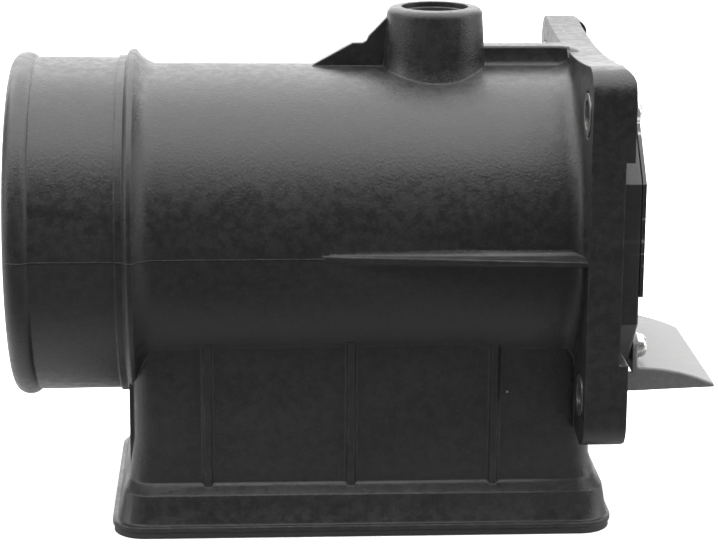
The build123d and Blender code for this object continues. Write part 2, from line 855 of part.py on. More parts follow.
def pressure_tubes():
    """Two tubes that carry the pressure beats down to the transducer."""
    tubes = []
    for side in (-1, 1):
        low_z = transducer_top_z()
        tube = rod_z(low_z, -passage_half_height, pressure_tube_radius, port_x, side * port_y)
        tubes.append(tube - rod_z(low_z - 1, 0, port_radius, port_x, side * port_y))
    return tubes


# ---------------------------------------------------------------- air temperature probe
def temperature_probe():
    """Stem through the tube's floor with an open cage round the thermistor."""
    collar_top_z = probe_collar_top_z()
    collar = rod_z(collar_top_z - probe_collar_height, collar_top_z, probe_collar_radius, probe_x, probe_y)
    stem = rod_z(collar_top_z, probe_top_z, probe_radius, probe_x, probe_y)
    probe = collar + stem
    hollow_z = probe_top_z - cage_height - 3
    probe -= rod_z(hollow_z, probe_top_z - 1.4, probe_radius - probe_wall, probe_x, probe_y)
    for turn in (0, 90):
        window = Box(4 * probe_radius, 0.9 * probe_radius, cage_height)
        probe -= Pos(probe_x, probe_y, cage_middle_z()) * Rot(0, 0, turn + 45) * window
    return probe - rod_z(collar_top_z - 4, hollow_z, lead_radius + 0.15, probe_x, probe_y)


def probe_collar_top_z():
    """The collar touches the tube's underside on the side away from the duct's middle."""
    return -math.sqrt(duct_radius**2 - (probe_y - probe_collar_radius) ** 2) - tube_hole_gap


def cage_middle_z():
    return probe_top_z - cage_crown - cage_height / 2


def thermistor():
    """Glass bead on its lead, in the probe's cage."""
    bead_z = cage_middle_z()
    lead = rod_z(probe_collar_top_z() - 4, bead_z, lead_radius, probe_x, probe_y)
    return lead + Pos(probe_x, probe_y, bead_z) * Sphere(bead_radius)


# ---------------------------------------------------------------- bypass adjuster
def bypass_screw():
    """Flow screw with an O-ring groove, a slotted head and a blunt needle."""
    low_z = bore_radius + 2.8
    groove_z = boss_bore_floor_z - seal_drop
    screw = rod_z(low_z, boss_bore_floor_z, needle_radius, boss_x)
    top_z = boss_bore_floor_z + needle_head_height
    screw += rod_z(boss_bore_floor_z, top_z, needle_head_radius, boss_x)
    groove_half = seal_section_radius + seal_gap
    ring = rod_z(groove_z - groove_half, groove_z + groove_half, needle_radius + 1, boss_x)
    ring -= rod_z(groove_z - 2, groove_z + 2, seal_middle_radius - groove_half, boss_x)
    screw -= ring
    reach = needle_head_radius + 1
    half = needle_slot / 2
    return screw - block(boss_x - reach, boss_x + reach, -half, half, top_z - needle_slot, top_z + 1)


def bypass_seal():
    """O-ring in the flow screw's groove."""
    groove_z = boss_bore_floor_z - seal_drop
    return Pos(boss_x, 0, groove_z) * Torus(seal_middle_radius, seal_section_radius)


def bypass_plug():
    """Dished cap pressed into the boss over the flow screw."""
    radius = boss_bore_radius - insert_gap
    top_z = plug_bottom_z + plug_thickness
    cap = rod_z(plug_bottom_z, top_z, radius, boss_x)
    cap = cap - rod_z(top_z - plug_dish, top_z + 1, radius - plug_edge, boss_x)
    return cap


# ---------------------------------------------------------------- electronics
def circuit_board():
    board = plan_block(board_bottom_z, board_top_z, board_left_x, board_right_x, board_half_width, 2.0)
    for x, y in board_post_points:
        board -= rod_z(board_bottom_z - 1, board_top_z + 1, board_screw_radius + 0.3, x, y)
    for x, z, leg_y in terminal_places():
        half_width = terminal_width / 2 + 0.1
        half_thick = terminal_thickness / 2 + 0.1
        board -= block(
            x - half_width, x + half_width, leg_y - half_thick, leg_y + half_thick, board_bottom_z - 1, 0
        )
    return board


def board_screws():
    screws = []
    for x, y in board_post_points:
        head = rod_z(
            board_bottom_z - board_screw_head_height, board_bottom_z, board_screw_head_radius, x, y
        )
        shank = rod_z(
            board_bottom_z, board_top_z + board_screw_length - 1, board_screw_radius - insert_gap, x, y
        )
        screws.append(head + shank)
    return screws


def transducer_top_z():
    return board_top_z + transducer_height


def pressure_transducer():
    """Sensing cell under the pressure tubes."""
    half_x, half_y = transducer_length / 2, transducer_width / 2
    cell = block(port_x - half_x, port_x + half_x, -half_y, half_y, board_top_z, transducer_top_z())
    cell = fillet(cell.edges().filter_by(Axis.Z), 1.5)
    for side in (-1, 1):
        cell -= rod_z(transducer_top_z() - 2, transducer_top_z() + 1, port_radius, port_x, side * port_y)
    return cell


def barometric_sensor():
    """Square can with a small breathing hole."""
    half = barometer_width / 2
    top_z = board_top_z + barometer_height
    can = block(
        barometer_x - half, barometer_x + half, barometer_y - half, barometer_y + half, board_top_z, top_z
    )
    can = fillet(can.edges().filter_by(Axis.Z), 1.2)
    return can - rod_z(top_z - 1, top_z + 1, 0.6, barometer_x, barometer_y)


def signal_chips():
    """Flat packages on the board."""
    chips = []
    for x, y, size_x, size_y in chip_places:
        chips.append(
            block(
                x - size_x / 2,
                x + size_x / 2,
                y - size_y / 2,
                y + size_y / 2,
                board_top_z,
                board_top_z + chip_height,
            )
        )
    return chips


def capacitors():
    """Upright round capacitors under the board, in the room above the cover."""
    cans = []
    for x, y in can_places:
        cans.append(rod_z(board_bottom_z - can_height, board_bottom_z, can_radius, x, y))
    return cans


def connector_terminals():
    """Eight bent blades from the socket down through the board."""
    terminals = []
    for blade, place in zip(terminal_blades(0), terminal_places()):
        x, z, leg_y = place
        half_width = terminal_width / 2
        half_thick = terminal_thickness / 2
        leg = block(
            x - half_width,
            x + half_width,
            leg_y - half_thick,
            leg_y + half_thick,
            board_bottom_z - 0.8,
            z,
        )
        terminals.append(blade + leg)
    return terminals


# ---------------------------------------------------------------- bottom cover
def cover_ring(x_inset, y_inset, corner, z0, z1):
    return plan_block(
        z0, z1, rim_left_x + x_inset, rim_right_x - x_inset, rim_half_width - y_inset, corner
    )


def sealant_ring(z0, z1, grow):
    """Rectangular bead that runs round under the rim."""
    outer = sealant_inset
    inner = outer + sealant_width
    ring = cover_ring(outer - grow, outer - grow, rim_corner - outer, z0, z1)
    return ring - cover_ring(inner + grow, inner + grow, rim_corner - inner, z0 - 1, z1 + 1)


def bottom_cover():
    """Plate with a locating tongue that stands inside the box's mouth."""
    plate = plan_block(
        base_z,
        rim_bottom_z,
        rim_left_x + cover_step,
        rim_right_x - cover_step,
        rim_half_width - cover_step,
        rim_corner - cover_step,
    )
    mouth_left = box_left_x + box_wall - 1.2 + tongue_gap
    mouth_right = box_right_x - box_wall + 1.2 - tongue_gap
    half_width = skirt_half_width - box_wall - tongue_gap
    tongue_z = rim_bottom_z + tongue_height
    tongue = plan_block(rim_bottom_z, tongue_z, mouth_left, mouth_right, half_width, box_corner)
    tongue -= plan_block(
        rim_bottom_z,
        tongue_z + 1,
        mouth_left + tongue_wall,
        mouth_right - tongue_wall,
        half_width - tongue_wall,
        box_corner - tongue_wall / 2,
    )
    return plate + tongue - sealant_ring(rim_bottom_z - sealant_depth, rim_bottom_z + 1, insert_gap)


def cover_sealant():
    return sealant_ring(rim_bottom_z - sealant_depth, rim_bottom_z, 0)


# ---------------------------------------------------------------- written files
def write(name, shape):
    """One STEP per node; a list of solids is one node of separate pieces."""
    if isinstance(shape, list):
        shape = Compound(children=[piece.solid() if hasattr(piece, "solid") else piece for piece in shape])
    export_step(shape, f"parts/{name}.step")
    print(name)


os.makedirs("parts", exist_ok=True)
write("sensor_body", sensor_body())
write("flange_sleeves", flange_sleeves())
write("inlet_frame", inlet_frame())
write("honeycomb", honeycomb())
write("retainer_plate", retainer_plate())
write("retainer_screws", retainer_screws())
write("air_deflector", air_deflector())
write("deflector_washers", deflector_washers())
write("deflector_screws", deflector_screws())
write("measuring_duct", measuring_duct())
write("vortex_column", vortex_column())
write("amplifying_plate", amplifying_plate())
write("pressure_tubes", pressure_tubes())
write("temperature_probe", temperature_probe())
write("thermistor", thermistor())
write("bypass_screw", bypass_screw())
write("bypass_seal", bypass_seal())
write("bypass_plug", bypass_plug())
write("circuit_board", circuit_board())
write("board_screws", board_screws())
write("pressure_transducer", pressure_transducer())
write("barometric_sensor", barometric_sensor())
write("signal_chips", signal_chips())
write("capacitors", capacitors())
write("connector_terminals", connector_terminals())
write("bottom_cover", bottom_cover())
write("cover_sealant", cover_sealant())
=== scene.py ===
import math

import bmesh
import bpy
from mathutils import Matrix, Vector


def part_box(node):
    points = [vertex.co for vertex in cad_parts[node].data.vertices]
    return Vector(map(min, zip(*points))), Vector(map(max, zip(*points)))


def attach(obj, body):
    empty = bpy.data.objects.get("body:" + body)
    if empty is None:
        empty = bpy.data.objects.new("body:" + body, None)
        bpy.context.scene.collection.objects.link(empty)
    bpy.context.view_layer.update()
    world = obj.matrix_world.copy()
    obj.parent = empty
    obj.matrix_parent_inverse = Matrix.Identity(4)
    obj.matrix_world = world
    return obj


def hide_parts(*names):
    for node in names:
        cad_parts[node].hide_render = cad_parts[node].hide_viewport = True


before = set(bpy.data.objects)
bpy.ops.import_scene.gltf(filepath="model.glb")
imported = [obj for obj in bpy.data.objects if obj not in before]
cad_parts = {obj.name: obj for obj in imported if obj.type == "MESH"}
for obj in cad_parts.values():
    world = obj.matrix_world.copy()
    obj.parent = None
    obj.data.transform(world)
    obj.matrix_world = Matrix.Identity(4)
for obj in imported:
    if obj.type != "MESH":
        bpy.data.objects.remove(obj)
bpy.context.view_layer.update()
print("frame loaded:", len(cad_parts), "CAD nodes")

mm = 0.001

# ---- node helpers


def feed(tree, socket, value):
    # a socket takes either a link or a plain value
    if isinstance(value, bpy.types.NodeSocket):
        tree.links.new(value, socket)
    else:
        socket.default_value = value


def growStep(tree, kind, inputs=None, **settings):
    made = tree.nodes.new(kind)
    for name, value in settings.items():
        setattr(made, name, value)
    for key, value in (inputs or {}).items():
        feed(tree, made.inputs[key], value)
    return made


def node(tree, kind, inputs=None, **settings):
    return growStep(tree, "ShaderNode" + kind, inputs, **settings)


def maths(tree, operation, a, b=0.0, c=0.0, clamp=False):
    made = growStep(tree, "ShaderNodeMath", operation=operation, use_clamp=clamp)
    for socket, value in zip(made.inputs, (a, b, c)):
        feed(tree, socket, value)
    return made.outputs[0]


def between(tree, value, low, high, toLow=0.0, toHigh=1.0):
    made = node(tree, "MapRange", {"Value": value, "From Min": low, "From Max": high,
                                   "To Min": toLow, "To Max": toHigh}, interpolation_type="SMOOTHSTEP")
    return made.outputs["Result"]


def tinted(tree, mask, base, over):
    made = tree.nodes.new("ShaderNodeMix")
    made.data_type = "RGBA"
    for index, value in ((0, mask), (6, base), (7, over)):     # factor, first colour, second colour
        feed(tree, made.inputs[index], value)
    return made.outputs[2]


def effect(name, inputs, outputs):
    group = bpy.data.node_groups.new(name, "ShaderNodeTree")
    for label, value in inputs.items():
        socket = group.interface.new_socket(label, in_out="INPUT", socket_type="NodeSocketFloat")
        socket.default_value = value
    for label, kind in outputs.items():
        group.interface.new_socket(label, in_out="OUTPUT", socket_type="NodeSocket" + kind)
    return group, group.nodes.new("NodeGroupInput"), group.nodes.new("NodeGroupOutput")


def place(tree, group, **values):
    made = tree.nodes.new("ShaderNodeGroup")
    made.node_tree = group
    for label, value in values.items():
        made.inputs[label].default_value = value
    return made


# ---- effects shared by the materials


def mouldedSkin():
    # fine pits of glass-filled plastic, and the slow clouds left by the flow
    group, ins, outs = effect("mouldedSkin", {"grainScale": 1500.0, "flowScale": 60.0},
                              {"grain": "Float", "speckle": "Float", "cloud": "Float", "mottle": "Float"})
    spot = node(group, "TexCoord").outputs["Object"]
    grain = node(group, "TexNoise", {"Vector": spot, "Scale": ins.outputs["grainScale"], "Detail": 3.0,
                                     "Roughness": 0.65}).outputs["Fac"]
    pits = node(group, "TexVoronoi", {"Vector": spot, "Scale": maths(group, "MULTIPLY", ins.outputs["grainScale"], 0.8)}
                ).outputs["Distance"]
    stretched = node(group, "Mapping", {"Vector": spot, "Scale": (0.35, 1.0, 1.0)}).outputs[0]
    cloud = node(group, "TexNoise", {"Vector": stretched, "Scale": ins.outputs["flowScale"], "Detail": 5.0,
                                     "Roughness": 0.6, "Distortion": 0.4}).outputs["Fac"]
    mottle = node(group, "TexNoise", {"Vector": spot, "Scale": maths(group, "MULTIPLY", ins.outputs["flowScale"], 8.0),
                                      "Detail": 4.0, "Roughness": 0.65}).outputs["Fac"]
    group.links.new(between(group, mottle, 0.34, 0.66), outs.inputs["mottle"])
    group.links.new(grain, outs.inputs["grain"])
    group.links.new(between(group, pits, 0.28, 0.08), outs.inputs["speckle"])
    group.links.new(between(group, cloud, 0.3, 0.7), outs.inputs["cloud"])
    return group


def edgeWearAndSheen():
    # rounded normals along sharp edges, and a pale tint along those edges that is partly rubbed wear and partly painted
    # edge highlight
    group, ins, outs = effect("edgeWearAndSheen", {"width": 0.0006, "breakup": 260.0},
                              {"wornAndSheen": "Float", "softNormal": "Vector"})
    soft = node(group, "Bevel", {"Radius": ins.outputs["width"]}, samples=6).outputs[0]
    sharp = node(group, "NewGeometry").outputs["Normal"]
    dot = node(group, "VectorMath", {0: soft, 1: sharp}, operation="DOT_PRODUCT").outputs["Value"]
    edge = between(group, maths(group, "SUBTRACT", 1.0, dot), 0.02, 0.16)
    spot = node(group, "TexCoord").outputs["Object"]
    broken = node(group, "TexNoise", {"Vector": spot, "Scale": ins.outputs["breakup"], "Detail": 4.0}).outputs["Fac"]
    # pale edge mask: partly rubbed wear, partly a painted highlight along the edges
    wornAndSheen = maths(group, "MULTIPLY", edge, between(group, broken, 0.42, 0.66))
    group.links.new(wornAndSheen, outs.inputs["wornAndSheen"])
    group.links.new(soft, outs.inputs["softNormal"])
    return group


def scuffs():
    # thin scratches in three directions, only here and there
    group, ins, outs = effect("scuffs", {"scale": 42.0, "spread": 0.55}, {"scratch": "Float"})
    spot = node(group, "TexCoord").outputs["Object"]
    total = None
    for turn, squeeze in (((0.3, 0.2, 0.5), 0.16), ((1.1, 0.7, 1.9), 0.12), ((0.2, 1.3, 2.6), 0.2)):
        turned = node(group, "Mapping", {"Vector": spot, "Rotation": turn, "Scale": (squeeze, 1.0, 1.0)}).outputs[0]
        cells = node(group, "TexVoronoi", {"Vector": turned, "Scale": ins.outputs["scale"]},
                     feature="DISTANCE_TO_EDGE").outputs["Distance"]
        line = between(group, cells, 0.012, 0.002)
        total = line if total is None else maths(group, "MAXIMUM", total, line)
    patch = node(group, "TexNoise", {"Vector": spot, "Scale": 55.0, "Detail": 3.0}).outputs["Fac"]
    kept = maths(group, "GREATER_THAN", patch, ins.outputs["spread"])
    group.links.new(maths(group, "MULTIPLY", total, kept), outs.inputs["scratch"])
    return group


def settledDust():
    # pale dust on faces that look up
    group, ins, outs = effect("settledDust", {"amount": 0.5, "scale": 300.0}, {"dust": "Float"})
    spot = node(group, "TexCoord").outputs["Object"]
    up = node(group, "SeparateXYZ", {0: node(group, "NewGeometry").outputs["Normal"]}).outputs["Z"]
    facing = between(group, up, 0.55, 1.0)
    mottled = node(group, "TexNoise", {"Vector": spot, "Scale": ins.outputs["scale"], "Detail": 6.0,
                                       "Roughness": 0.7}).outputs["Fac"]
    dust = maths(group, "MULTIPLY", maths(group, "MULTIPLY", facing, between(group, mottled, 0.35, 0.75)),
                 ins.outputs["amount"])
    group.links.new(dust, outs.inputs["dust"])
    return group


def strayFlecks():
    # a few small flecks, each in its own cell, and most cells left empty
    group, ins, outs = effect("strayFlecks", {"scale": 115.0, "share": 0.2}, {"pale": "Float", "deep": "Float"})
    spot = node(group, "TexCoord").outputs["Object"]
    cell = node(group, "TexVoronoi", {"Vector": spot, "Scale": ins.outputs["scale"], "Randomness": 1.0})
    parts = node(group, "SeparateColor", {0: cell.outputs["Color"]}).outputs
    size = between(group, parts["Green"], 0.0, 1.0, 0.018, 0.05)
    dot = maths(group, "LESS_THAN", cell.outputs["Distance"], size)
    chosen = maths(group, "LESS_THAN", parts["Red"], ins.outputs["share"])
    other = maths(group, "GREATER_THAN", parts["Red"], maths(group, "SUBTRACT", 1.0, ins.outputs["share"]))
    group.links.new(maths(group, "MULTIPLY", dot, chosen), outs.inputs["pale"])
    group.links.new(maths(group, "MULTIPLY", dot, other), outs.inputs["deep"])
    return group


skinEffect, wearAndSheenEffect, scuffEffect, dustEffect = mouldedSkin(), edgeWearAndSheen(), scuffs(), settledDust()
fleckEffect = strayFlecks()
print("effects built")

# ---- finishes


def finish(name, look):
    material = bpy.data.materials.new(name)
    material.use_nodes = True
    tree = material.node_tree
    shader = tree.nodes["Principled BSDF"]
    shader.inputs["Metallic"].default_value = look.get("metal", 0.0)
    shader.inputs["IOR"].default_value = look.get("ior", 1.5)
    skin = place(tree, skinEffect, grainScale=look["grain"], flowScale=look.get("flow", 60.0))
    wearAndSheen = place(tree, wearAndSheenEffect, width=look.get("edge", 0.5) * mm, breakup=look.get("breakup", 260.0))
    scratch = place(tree, scuffEffect, scale=look.get("scuffScale", 42.0), spread=look.get("scuffSpread", 0.56))
    dust = place(tree, dustEffect, amount=look.get("dust", 0.15))
    patchy = maths(tree, "ADD", maths(tree, "MULTIPLY", skin.outputs["cloud"], 0.45),
                   maths(tree, "MULTIPLY", skin.outputs["mottle"], 0.55))
    colour = tinted(tree, patchy, look["dark"], look["light"])
    speck = maths(tree, "MULTIPLY", skin.outputs["speckle"], look.get("speckle", 0.2))
    colour = tinted(tree, speck, colour, look["speckColour"])
    # pale tint from scratches, which are wear, and along edges, which is rubbed wear and painted highlight together
    for mask, share in ((scratch.outputs[0], look.get("scuff", 0.3)), (wearAndSheen.outputs["wornAndSheen"], look.get("wornAndSheen", 0.4))):
        colour = tinted(tree, maths(tree, "MULTIPLY", mask, share), colour, look["wornAndSheenColour"])
    colour = tinted(tree, dust.outputs[0], colour, look.get("dustColour", (0.32, 0.31, 0.3, 1)))
    if "flecks" in look or "darkFlecks" in look:
        fleck = place(tree, fleckEffect)
        colour = tinted(tree, maths(tree, "MULTIPLY", fleck.outputs["pale"], look.get("flecks", 0.0)), colour,
                        (0.3, 0.3, 0.3, 1))
        colour = tinted(tree, maths(tree, "MULTIPLY", fleck.outputs["deep"], look.get("darkFlecks", 0.6)), colour,
                        (0.006, 0.006, 0.006, 1))
    tree.links.new(colour, shader.inputs["Base Color"])
    rough = between(tree, patchy, 0.0, 1.0, look["rough"] - look.get("roughSpan", 0.04),
                    look["rough"] + look.get("roughSpan", 0.04))
    rough = maths(tree, "ADD", rough, maths(tree, "MULTIPLY", dust.outputs[0], 0.3), clamp=True)
    tree.links.new(rough, shader.inputs["Roughness"])
    height = maths(tree, "ADD", maths(tree, "MULTIPLY", skin.outputs["grain"], 1.0),
                   maths(tree, "MULTIPLY", scratch.outputs[0], -look.get("scuffDepth", 0.8)))
    bump = node(tree, "Bump", {"Height": height, "Normal": wearAndSheen.outputs["softNormal"],
                               "Strength": look.get("bump", 0.35), "Distance": look.get("relief", 0.03) * mm})
    tree.links.new(bump.outputs[0], shader.inputs["Normal"])
    return material


housingPlastic = finish("housingPlastic", {
    "dark": (0.01, 0.01, 0.01, 1), "light": (0.024, 0.024, 0.024, 1), "speckColour": (0.11, 0.11, 0.11, 1),
    "wornAndSheenColour": (0.16, 0.16, 0.158, 1), "grain": 1500.0, "speckle": 0.16, "rough": 0.40, "roughSpan": 0.085,
    "edge": 0.6, "wornAndSheen": 0.34, "scuff": 0.015, "scuffScale": 70.0, "scuffSpread": 0.6, "scuffDepth": 0.0, "dust": 0.04,
    "flecks": 0.85, "bump": 0.95, "relief": 0.095})
coverPlastic = finish("coverPlastic", {
    "dark": (0.017, 0.017, 0.0175, 1), "light": (0.022, 0.022, 0.0225, 1), "speckColour": (0.1, 0.1, 0.1, 1),
    "wornAndSheenColour": (0.15, 0.15, 0.15, 1), "grain": 1300.0, "speckle": 0.1, "rough": 0.44,
    "edge": 0.4, "wornAndSheen": 0.4, "scuff": 0.03, "scuffScale": 70.0, "scuffDepth": 0.0, "dust": 0.04, "flecks": 0.5,
    "bump": 0.5, "relief": 0.05})
framePlastic = finish("framePlastic", {
    "dark": (0.02, 0.02, 0.021, 1), "light": (0.032, 0.032, 0.033, 1), "speckColour": (0.12, 0.12, 0.12, 1),
    "wornAndSheenColour": (0.24, 0.24, 0.24, 1), "grain": 900.0, "speckle": 0.12, "rough": 0.46,
    "edge": 0.4, "wornAndSheen": 0.7, "scuff": 0.06, "dust": 0.06, "flecks": 0.6, "bump": 0.7, "relief": 0.07})
corePlastic = finish("corePlastic", {
    "dark": (0.23, 0.22, 0.19, 1), "light": (0.3, 0.29, 0.26, 1), "speckColour": (0.12, 0.11, 0.1, 1),
    "wornAndSheenColour": (0.4, 0.39, 0.36, 1), "grain": 1600.0, "speckle": 0.2, "rough": 0.55,
    "edge": 0.12, "wornAndSheen": 0.2, "scuff": 0.1, "dust": 0.1})
passagePlastic = finish("passagePlastic", {
    "dark": (0.05, 0.05, 0.052, 1), "light": (0.07, 0.07, 0.073, 1), "speckColour": (0.14, 0.14, 0.14, 1),
    "wornAndSheenColour": (0.2, 0.2, 0.2, 1), "grain": 1500.0, "rough": 0.5, "edge": 0.3, "wornAndSheen": 0.2, "dust": 0.15})
probePlastic = finish("probePlastic", {
    "dark": (0.09, 0.085, 0.08, 1), "light": (0.12, 0.115, 0.11, 1), "speckColour": (0.2, 0.2, 0.2, 1),
    "wornAndSheenColour": (0.25, 0.25, 0.25, 1), "grain": 1800.0, "rough": 0.45, "edge": 0.2, "wornAndSheen": 0.2, "dust": 0.1})
blackSteel = finish("blackSteel", {
    "dark": (0.045, 0.045, 0.047, 1), "light": (0.07, 0.07, 0.072, 1), "speckColour": (0.2, 0.2, 0.2, 1),
    "wornAndSheenColour": (0.5, 0.5, 0.5, 1), "grain": 1100.0, "rough": 0.42, "metal": 0.7,
    "edge": 0.2, "wornAndSheen": 0.9, "scuff": 0.5, "dust": 0.05})
zincSteel = finish("zincSteel", {
    "dark": (0.52, 0.52, 0.51, 1), "light": (0.66, 0.66, 0.65, 1), "speckColour": (0.3, 0.3, 0.28, 1),
    "wornAndSheenColour": (0.75, 0.75, 0.74, 1), "grain": 2600.0, "flow": 240.0, "rough": 0.27, "metal": 1.0,
    "edge": 0.15, "wornAndSheen": 0.4, "scuff": 0.3, "dust": 0.0, "bump": 0.25})
turnedSteel = finish("turnedSteel", {
    "dark": (0.2, 0.2, 0.195, 1), "light": (0.3, 0.3, 0.295, 1), "speckColour": (0.12, 0.11, 0.1, 1),
    "wornAndSheenColour": (0.5, 0.5, 0.49, 1), "grain": 2200.0, "flow": 200.0, "rough": 0.42, "metal": 1.0,
    "edge": 0.15, "wornAndSheen": 0.35, "scuff": 0.2, "dust": 0.0, "bump": 0.25})
deflectorFinish = finish("deflectorFinish", {
    "dark": (0.12, 0.12, 0.12, 1), "light": (0.18, 0.18, 0.178, 1), "speckColour": (0.1, 0.1, 0.1, 1),
    "wornAndSheenColour": (0.42, 0.42, 0.42, 1), "grain": 1400.0, "flow": 90.0, "speckle": 0.3, "rough": 0.5, "metal": 0.0,
    "edge": 0.3, "wornAndSheen": 0.3, "scuff": 0.2, "scuffScale": 80.0, "dust": 0.0, "darkFlecks": 0.9, "bump": 0.7,
    "relief": 0.08})
brassMetal = finish("brassMetal", {
    "dark": (0.55, 0.4, 0.16, 1), "light": (0.72, 0.54, 0.25, 1), "speckColour": (0.3, 0.22, 0.1, 1),
    "wornAndSheenColour": (0.85, 0.7, 0.4, 1), "grain": 2400.0, "flow": 220.0, "rough": 0.28, "metal": 1.0,
    "edge": 0.15, "wornAndSheen": 0.4, "scuff": 0.3, "dust": 0.0, "bump": 0.25})
tinPlate = finish("tinPlate", {
    "dark": (0.6, 0.59, 0.56, 1), "light": (0.72, 0.71, 0.69, 1), "speckColour": (0.4, 0.4, 0.38, 1),
    "wornAndSheenColour": (0.8, 0.79, 0.77, 1), "grain": 2600.0, "flow": 240.0, "rough": 0.25, "metal": 1.0,
    "edge": 0.08, "wornAndSheen": 0.3, "scuff": 0.2, "dust": 0.0, "bump": 0.2})
plugMetal = finish("plugMetal", {
    "dark": (0.035, 0.035, 0.036, 1), "light": (0.055, 0.055, 0.056, 1), "speckColour": (0.18, 0.18, 0.18, 1),
    "wornAndSheenColour": (0.3, 0.3, 0.3, 1), "grain": 1300.0, "rough": 0.5, "metal": 0.0,
    "edge": 0.3, "wornAndSheen": 0.4, "scuff": 0.4, "dust": 0.1})
sealRubber = finish("sealRubber", {
    "dark": (0.012, 0.012, 0.012, 1), "light": (0.018, 0.018, 0.018, 1), "speckColour": (0.06, 0.06, 0.06, 1),
    "wornAndSheenColour": (0.06, 0.06, 0.06, 1), "grain": 2000.0, "rough": 0.6, "edge": 0.1, "wornAndSheen": 0.1, "scuff": 0.1,
    "dust": 0.1})
sealantGum = finish("sealantGum", {
    "dark": (0.02, 0.02, 0.021, 1), "light": (0.035, 0.035, 0.036, 1), "speckColour": (0.08, 0.08, 0.08, 1),
    "wornAndSheenColour": (0.08, 0.08, 0.08, 1), "grain": 1200.0, "rough": 0.35, "edge": 0.1, "wornAndSheen": 0.1, "scuff": 0.0,
    "dust": 0.15})
boardGreen = finish("boardGreen", {
    "dark": (0.015, 0.09, 0.04, 1), "light": (0.02, 0.12, 0.05, 1), "speckColour": (0.3, 0.28, 0.2, 1),
    "wornAndSheenColour": (0.3, 0.35, 0.25, 1), "grain": 1500.0, "flow": 300.0, "rough": 0.3, "edge": 0.1, "wornAndSheen": 0.2,
    "scuff": 0.0, "dust": 0.0})
chipPlastic = finish("chipPlastic", {
    "dark": (0.018, 0.018, 0.018, 1), "light": (0.024, 0.024, 0.024, 1), "speckColour": (0.07, 0.07, 0.07, 1),
    "wornAndSheenColour": (0.1, 0.1, 0.1, 1), "grain": 2600.0, "rough": 0.5, "edge": 0.15, "wornAndSheen": 0.2, "scuff": 0.0,
    "dust": 0.0})
canMetal = finish("canMetal", {
    "dark": (0.55, 0.55, 0.57, 1), "light": (0.68, 0.68, 0.7, 1), "speckColour": (0.4, 0.4, 0.4, 1),
    "wornAndSheenColour": (0.8, 0.8, 0.8, 1), "grain": 2600.0, "rough": 0.3, "metal": 1.0, "edge": 0.2, "wornAndSheen": 0.2,
    "scuff": 0.2, "dust": 0.0, "bump": 0.2})


def clearBead():
    material = bpy.data.materials.new("clearBead")
    material.use_nodes = True
    shader = material.node_tree.nodes["Principled BSDF"]
    shader.inputs["Base Color"].default_value = (0.62, 0.3, 0.14, 1)
    shader.inputs["Transmission Weight"].default_value = 0.7
    shader.inputs["Roughness"].default_value = 0.12
    return material


beadGlass = clearBead()
dressing = {
    "sensor_body": housingPlastic, "bottom_cover": coverPlastic, "inlet_frame": framePlastic,
    "honeycomb": corePlastic, "retainer_plate": blackSteel, "retainer_screws": zincSteel,
    "air_deflector": deflectorFinish, "deflector_washers": zincSteel, "deflector_screws": zincSteel,
    "flange_sleeves": turnedSteel, "measuring_duct": passagePlastic, "vortex_column": passagePlastic,
    "amplifying_plate": passagePlastic, "pressure_tubes": sealRubber, "temperature_probe": probePlastic,
    "thermistor": beadGlass, "bypass_screw": brassMetal, "bypass_seal": sealRubber, "bypass_plug": plugMetal,
    "circuit_board": boardGreen, "board_screws": zincSteel, "pressure_transducer": chipPlastic,
    "barometric_sensor": canMetal, "signal_chips": chipPlastic, "capacitors": canMetal,
    "connector_terminals": tinPlate, "cover_sealant": sealantGum,
}
for name, material in dressing.items():
    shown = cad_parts[name]
    for slot in shown.material_slots:
        slot.material = material
print("finishes assigned:", len(dressing))

# ---- the moulded housing, drawn again with its finer outside shapes (millimetres)

housingShape = {
    "turn": 160,                                   # sides of a full turn
    "lip": -142.2, "bead": 41.2, "nose": 3.2, "spigot": 40.1, "beadFoot": -136.3,
    "collarFace": -116.8, "collarStep": -115.0, "collarTop": 41.9, "collarSlope": -112.9, "collarEnd": -108.0,
    "tube": 38.5, "tubeInlet": 38.15, "ring": 38.75, "ringStart": -30.5, "ringCone": 5.6, "root": 3.3,
    "bore": 35.5, "spigotBore": 37.0,
    "flangeBack": -9.8, "flangeFace": -2.0, "flangeWide": 46.3, "flangeHigh": 44.4, "flangeCorner": 7.0,
    "flangeDip": 2.4, "padWide": 13.3, "padLong": 20.8, "crown": 3.6, "crownDrop": 3.4,
    "boltY": 38.0, "boltZ": 33.0, "sleeve": 5.05, "spotFace": 5.5,
    "bossX": -41.6, "bossRound": 1.8, "bossWell": 8.0, "bossWellFloor": 43.4,
    "finStart": -70.4, "finReach": 45.4, "finHalf": 0.7, "webHalf": 2.8, "webTop": 43.2,
    "boxLeft": -113.7, "boxRight": -5.4, "boxHalf": 30.7, "rimTop": -65.2, "rimBottom": -66.4,
    "ribs": (-96.25, -62.6, -28.95), "ribWide": 2.1, "ribHigh": 1.0,
    "plugX": -62.0, "plugZ": -40.6, "plugFace": 49.2, "plugWide": 36.0, "plugHigh": 17.6, "plugWall": 2.2,
}


def solidFrom(name, vertices, faces):
    mesh = bpy.data.meshes.new(name)
    mesh.from_pydata([Vector(point) * mm for point in vertices], [], faces)
    shape = bmesh.new()
    shape.from_mesh(mesh)
    bmesh.ops.recalc_face_normals(shape, faces=shape.faces)
    shape.to_mesh(mesh)
    shape.free()
    made = bpy.data.objects.new(name, mesh)
    bpy.context.scene.collection.objects.link(made)
    return made


